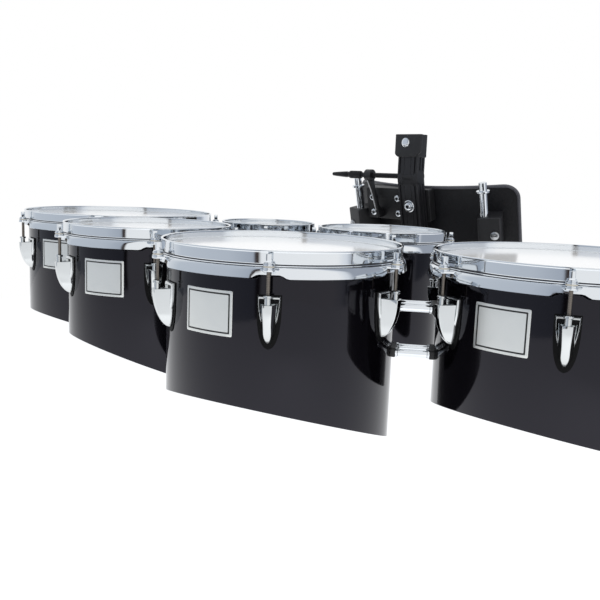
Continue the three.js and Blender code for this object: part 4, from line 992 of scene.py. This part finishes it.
# Each bolt's hexagon socket is coloured dark grey as painted shade
heads, painted_shade_wells = zip(*[[to_front(part, (x, BRACKET_FRONT, z)) for part in socket_bolt(7.0, -0.3, 5.0, 3.0)]
                     for x in (-108, -46) for z in (42, 11)])
make_piece("tilt_bracket_plate", "belly", [powder, chrome, painted_shade_grey, painted_highlight_aluminium],
           [leaned(joined(base, lever_body, lever_eye)), leaned(joined(*heads)), leaned(joined(*painted_shade_wells)),
            leaned(lever_highlight_edge)], replaces=["tilt_bracket"], smooth=35)


# ---------------------------------------------------------------- belly plate
# Rolled aluminium sheet, curved to the wearer, with round corners and a rolled edge, powder-coated
# in a leather-like texture.

PLATE_TOP, PLATE_LOW, PLATE_SHEET = 66.0, -132.0, 3.4
TOP_CORNER, LOW_CORNER, RIM_RADIUS = 28.0, 42.0, 3.4


def bent(flat_x, height, off):
    """Bends flat x to the belly curve, off being how far behind the plate's front a point lies."""
    radius = PLATE_RADIUS - off
    angle = np.arcsin(np.clip(flat_x / PLATE_RADIUS, -1, 1))
    return np.stack([radius * np.sin(angle), PLATE_FRONT + PLATE_RADIUS - radius * np.cos(angle), height], -1)


def belly_outline(inset, steps=10):
    """The plate's outline: straight edges with many points and quarter-circle corners, tighter at the top."""
    w, top, low = PLATE_HALF - inset, PLATE_TOP - inset, PLATE_LOW + inset
    quarter = np.linspace(0, math.pi / 2, steps)
    tight, wide = TOP_CORNER - inset, LOW_CORNER - inset
    arcs = [(w - tight, top - tight, tight), (tight - w, top - tight, tight), (wide - w, low + wide, wide),
            (w - wide, low + wide, wide)]
    turns = [quarter + k * math.pi / 2 for k in range(4)]
    pieces = [np.column_stack([x + r * np.cos(turn), z + r * np.sin(turn)])
              for turn, (x, z, r) in zip(turns, arcs)]
    along = np.linspace(0, 1, 14)[1:-1, None]
    outline = []
    for here, after in zip(pieces, pieces[1:] + pieces[:1]):
        outline += [here, here[-1] * (1 - along) + after[0] * along]
    return np.concatenate(outline)


def belly_sheet(inset, off, thick, rounding):
    """The outline shrunk ring by ring to a line in its middle, front and back, then bent."""
    middle, edge, rings = (PLATE_TOP + PLATE_LOW) / 2, belly_outline(inset), []
    shrink = (1, 0.96, 0.85, 0.65, 0.4, 0.15, 0.0)
    for shares, depth, edge_in in ((shrink[::-1], off, rounding), (shrink, off + thick, -rounding)):
        for k in shares:
            rings.append(bent(edge[:, 0] * k, middle + (edge[:, 1] - middle) * k,
                              depth + (edge_in if k == 1 else 0)))
    return skinned(rings)


# Textured powder coat, a leather-like cell about 2.5 mm across
textured, tree, shader = new_finish("powder_coat_textured_black", "#0b0b0f", 0.5, Specular_IOR_Level=0.35)
add_grain(tree, shader, 0.00018, "Voronoi", settings=dict(feature="F2"), Scale=420.0)
vary_gloss(tree, shader, 0.38, 0.55, Scale=14.0, Detail=4.0)
# The coat over the rolled edge, where it lies smooth: satin, with a finer cell of 1 mm, and a lighter grey
# than the plate as a painted highlight along the rim
rim_highlight_coat, tree, shader = new_finish("powder_coat_rim_painted_highlight", "#4a4a50", 0.36)
add_grain(tree, shader, 0.00004, "Voronoi", Scale=1000.0)

sheet = belly_sheet(2.0, 0.0, PLATE_SHEET, 0.4)
rim_line = belly_outline(3.5)
rim_path = bent(rim_line[:, 0], rim_line[:, 1], 1.7)
rim_way = unit(np.roll(rim_path, -1, 0) - np.roll(rim_path, 1, 0))
rim_side = unit(np.cross(rim_way, (0, 1.0, 0)))
rim_out = np.cross(rim_side, rim_way)
around = full_turn(12)[None, :, None]
rim_ring = rim_side[:, None] * np.cos(around) + rim_out[:, None] * np.sin(around)
rim = skinned(rim_path[:, None] + RIM_RADIUS * rim_ring, True)
make_piece("belly_plate_sheet", "belly", [textured, rim_highlight_coat],
           [leaned(sheet), leaned(rim)], replaces=["belly_plate"], smooth=40)


# ---------------------------------------------------------------- belly pad
# Closed-cell foam under knitted polyester, glued behind the plate and sewn round its edge; it
# swells between the seams.

# Warp-knit polyester: rows of loops drawn 2 mm apart, coarser than real so that they show
knit, tree, shader = new_finish("polyester_knit_black", "#1b1b1d", 0.85, Sheen_Weight=0.25,
                                Sheen_Roughness=0.4)
place = add_node(tree, "ShaderNodeTexCoord").outputs["Object"]
courses = add_node(tree, "ShaderNodeTexWave", {"Vector": place, "Scale": 150.0, "Distortion": 1.2,
                                              "Detail": 1.0, "Detail Scale": 3.0}, bands_direction="Z")
wales = add_node(tree, "ShaderNodeTexWave", {"Vector": place, "Scale": 150.0}, bands_direction="X")
loops = add_node(tree, "ShaderNodeMath", {0: courses.outputs["Fac"], 1: wales.outputs["Fac"]},
                 operation="MULTIPLY")
relief(tree, shader, loops.outputs[0], 0.0003)

pad_part = leaned(belly_sheet(12.0, PLATE_SHEET + 2.2, 9.0, 2.0))
pad = make_piece("belly_pad_foam", "belly", [knit], [pad_part], replaces=["belly_pad"], smooth=60)


def evaluated_mesh(piece):
    """The piece's mesh as its modifiers leave it, which are then taken off, and its points in metres."""
    mesh = bpy.data.meshes.new_from_object(piece.evaluated_get(bpy.context.evaluated_depsgraph_get()))
    piece.modifiers.clear()
    points = np.empty(len(mesh.vertices) * 3, np.float32)
    mesh.vertices.foreach_get("co", points)
    return mesh, points.reshape(-1, 3)


def swell(piece, voxel, pressure, cap, frames=20):
    """Blows a closed pad up: voxel remesh, cloth under pressure for the given frames, each point's way
    limited to cap metres, and the result kept as the mesh."""
    bpy.context.view_layer.objects.active = piece
    remesh = piece.modifiers.new("remesh", "REMESH")
    remesh.mode, remesh.voxel_size = "VOXEL", voxel
    piece.data, rest = evaluated_mesh(piece)
    cloth = piece.modifiers.new("cloth", "CLOTH")
    cloth.settings.use_pressure = True
    cloth.settings.uniform_pressure_force = pressure
    cloth.settings.effector_weights.gravity = 0
    for step in range(1, frames + 1):
        bpy.context.scene.frame_set(step)
    result, blown = evaluated_mesh(piece)
    bpy.context.scene.frame_set(1)
    way = blown - rest
    way *= np.minimum(1, cap / np.maximum(np.linalg.norm(way, axis=1, keepdims=True), 1e-9))
    result.vertices.foreach_set("co", (rest + way).ravel())
    piece.data = result
    result.shade_smooth()


swell(pad, voxel=0.005, pressure=4.0, cap=0.003)
smoothing = pad.modifiers.new("smooth", "SUBSURF")
smoothing.levels = smoothing.render_levels = 1


# ---------------------------------------------------------------- sockets
# Moulded black nylon blocks bolted square to the curved plate; each guides a hook bar through a
# bore near its inner end and is crossed by one big slotted rivet.

# Glass-filled nylon: dull black with a fine spark-eroded grain
moulded, tree, shader = new_finish("nylon_moulded_black", "#17171a", 0.5)
add_grain(tree, shader, 0.00006, Scale=900.0, Detail=3.0)

BAR_Y = 532.0
SQUARE_TO_PLATE = math.asin(BAR_X / PLATE_RADIUS)
rivet = turned([(0, -0.5), (8.5, -0.5), (8.5, 0.8), (7.8, 2.4), (6.0, 3.5), (3.0, 4.0), (0, 4.0)], 32)


def bored_block(outline, low, high, bore, rounding):
    """A block with a round bore at its origin: each outline point p has a wall point bore p / |p| inside."""
    edge = np.roll(outline, -1, 0) - outline
    dense = np.concatenate([outline + edge * k for k in (0, 0.25, 0.5, 0.75)], 1).reshape(-1, 2)
    wall = bore * dense / np.linalg.norm(dense, axis=1)[:, None]
    small = offset_outline(dense, rounding)
    return skinned([level_ring(ring, z) for ring, z in (
        (wall, low), (small, low), (dense, low + rounding), (dense, high - rounding), (small, high),
        (wall * 1.12, high), (wall, high - 0.8))], True)


for side, name in ((-1, "left"), (1, "right")):
    block = bored_block(rectangle(-12, 30, -12, 60, 3.0), -47, 15, 8.1, 1.4)
    stud = to_front(rivet, (19, -12, -19))
    # The rivet's slot is a thin black sheet laid on its head: painted shade where the slot is
    slot_painted_shade = facing_front(rectangle(15.5, 22.5, -19.7, -18.3, 0.4), -16.3, -15.2, 0.1)
    parts = []
    for part in (block, stud, slot_painted_shade):
        points, faces = at_drum(part, dict(centre=(BAR_X, BAR_Y)), SQUARE_TO_PLATE)
        points[:, 0] = np.maximum(points[:, 0], 125.0) * side
        parts.append(leaned(to_plate((points, faces))))
    make_piece(f"socket_{name}_block", "belly", [moulded, zinc, rubber], parts,
               replaces=[f"socket_{name}"], smooth=30)


# ---------------------------------------------------------------- hook bars
# Chromed steel bars that slide in the sockets, run under the rack and hook up into its cups; a
# chromed clamp collar sets how low each can go.

BAR_RADIUS, BEND_RADIUS, BEND_Z, HOOK_Y, HOOK_TOP, BAR_TOP = 7.6, 38.0, -154.0, 456.0, -100.0, 80.0


def on_bar(height):
    """A point y, z on the bar's leaning axis, at a height counted along the upright carrier."""
    return leaned((np.array([[0.0, BAR_Y, height]]), None))[0][0, 1:]


def arc(centre_y, start, sweep):
    """Points y, z round a bend: centre + radius (cos a, sin a) from start through sweep."""
    angle = start - np.linspace(0, sweep, 20)
    return np.column_stack([centre_y + BEND_RADIUS * np.cos(angle), BEND_Z + BEND_RADIUS * np.sin(angle)])


bend_top = BEND_Z + BEND_RADIUS * math.sin(LEAN)
low = HINGE_Z + (bend_top - HINGE_Z - (BAR_Y - POST_Y) * math.sin(LEAN)) / math.cos(LEAN)
under = arc(on_bar(low)[0] - BEND_RADIUS * math.cos(LEAN), LEAN, math.pi / 2 + LEAN)
upturn = arc(HOOK_Y + BEND_RADIUS, -math.pi / 2, math.pi / 2)
side_view = np.concatenate([[on_bar(h) for h in (BAR_TOP, 40.0, 0.0, -60.0, -110.0)], under, upturn,
                            [(HOOK_Y, -130.0), (HOOK_Y, HOOK_TOP)]])
collar = turned(bevelled(BAR_RADIUS, 12.5, 61.0, 64.8, 0.6), 40)
for side, name in ((-1, "left"), (1, "right")):
    rod = tube(np.column_stack([np.full(len(side_view), side * BAR_X), side_view]), BAR_RADIUS, 32)
    ring = leaned(moved(collar, side * BAR_X, BAR_Y))
    make_piece(f"hook_bar_{name}_tube", "hook_bars", [chrome], [joined(rod, ring)],
               replaces=[f"hook_bar_{name}"], smooth=30)
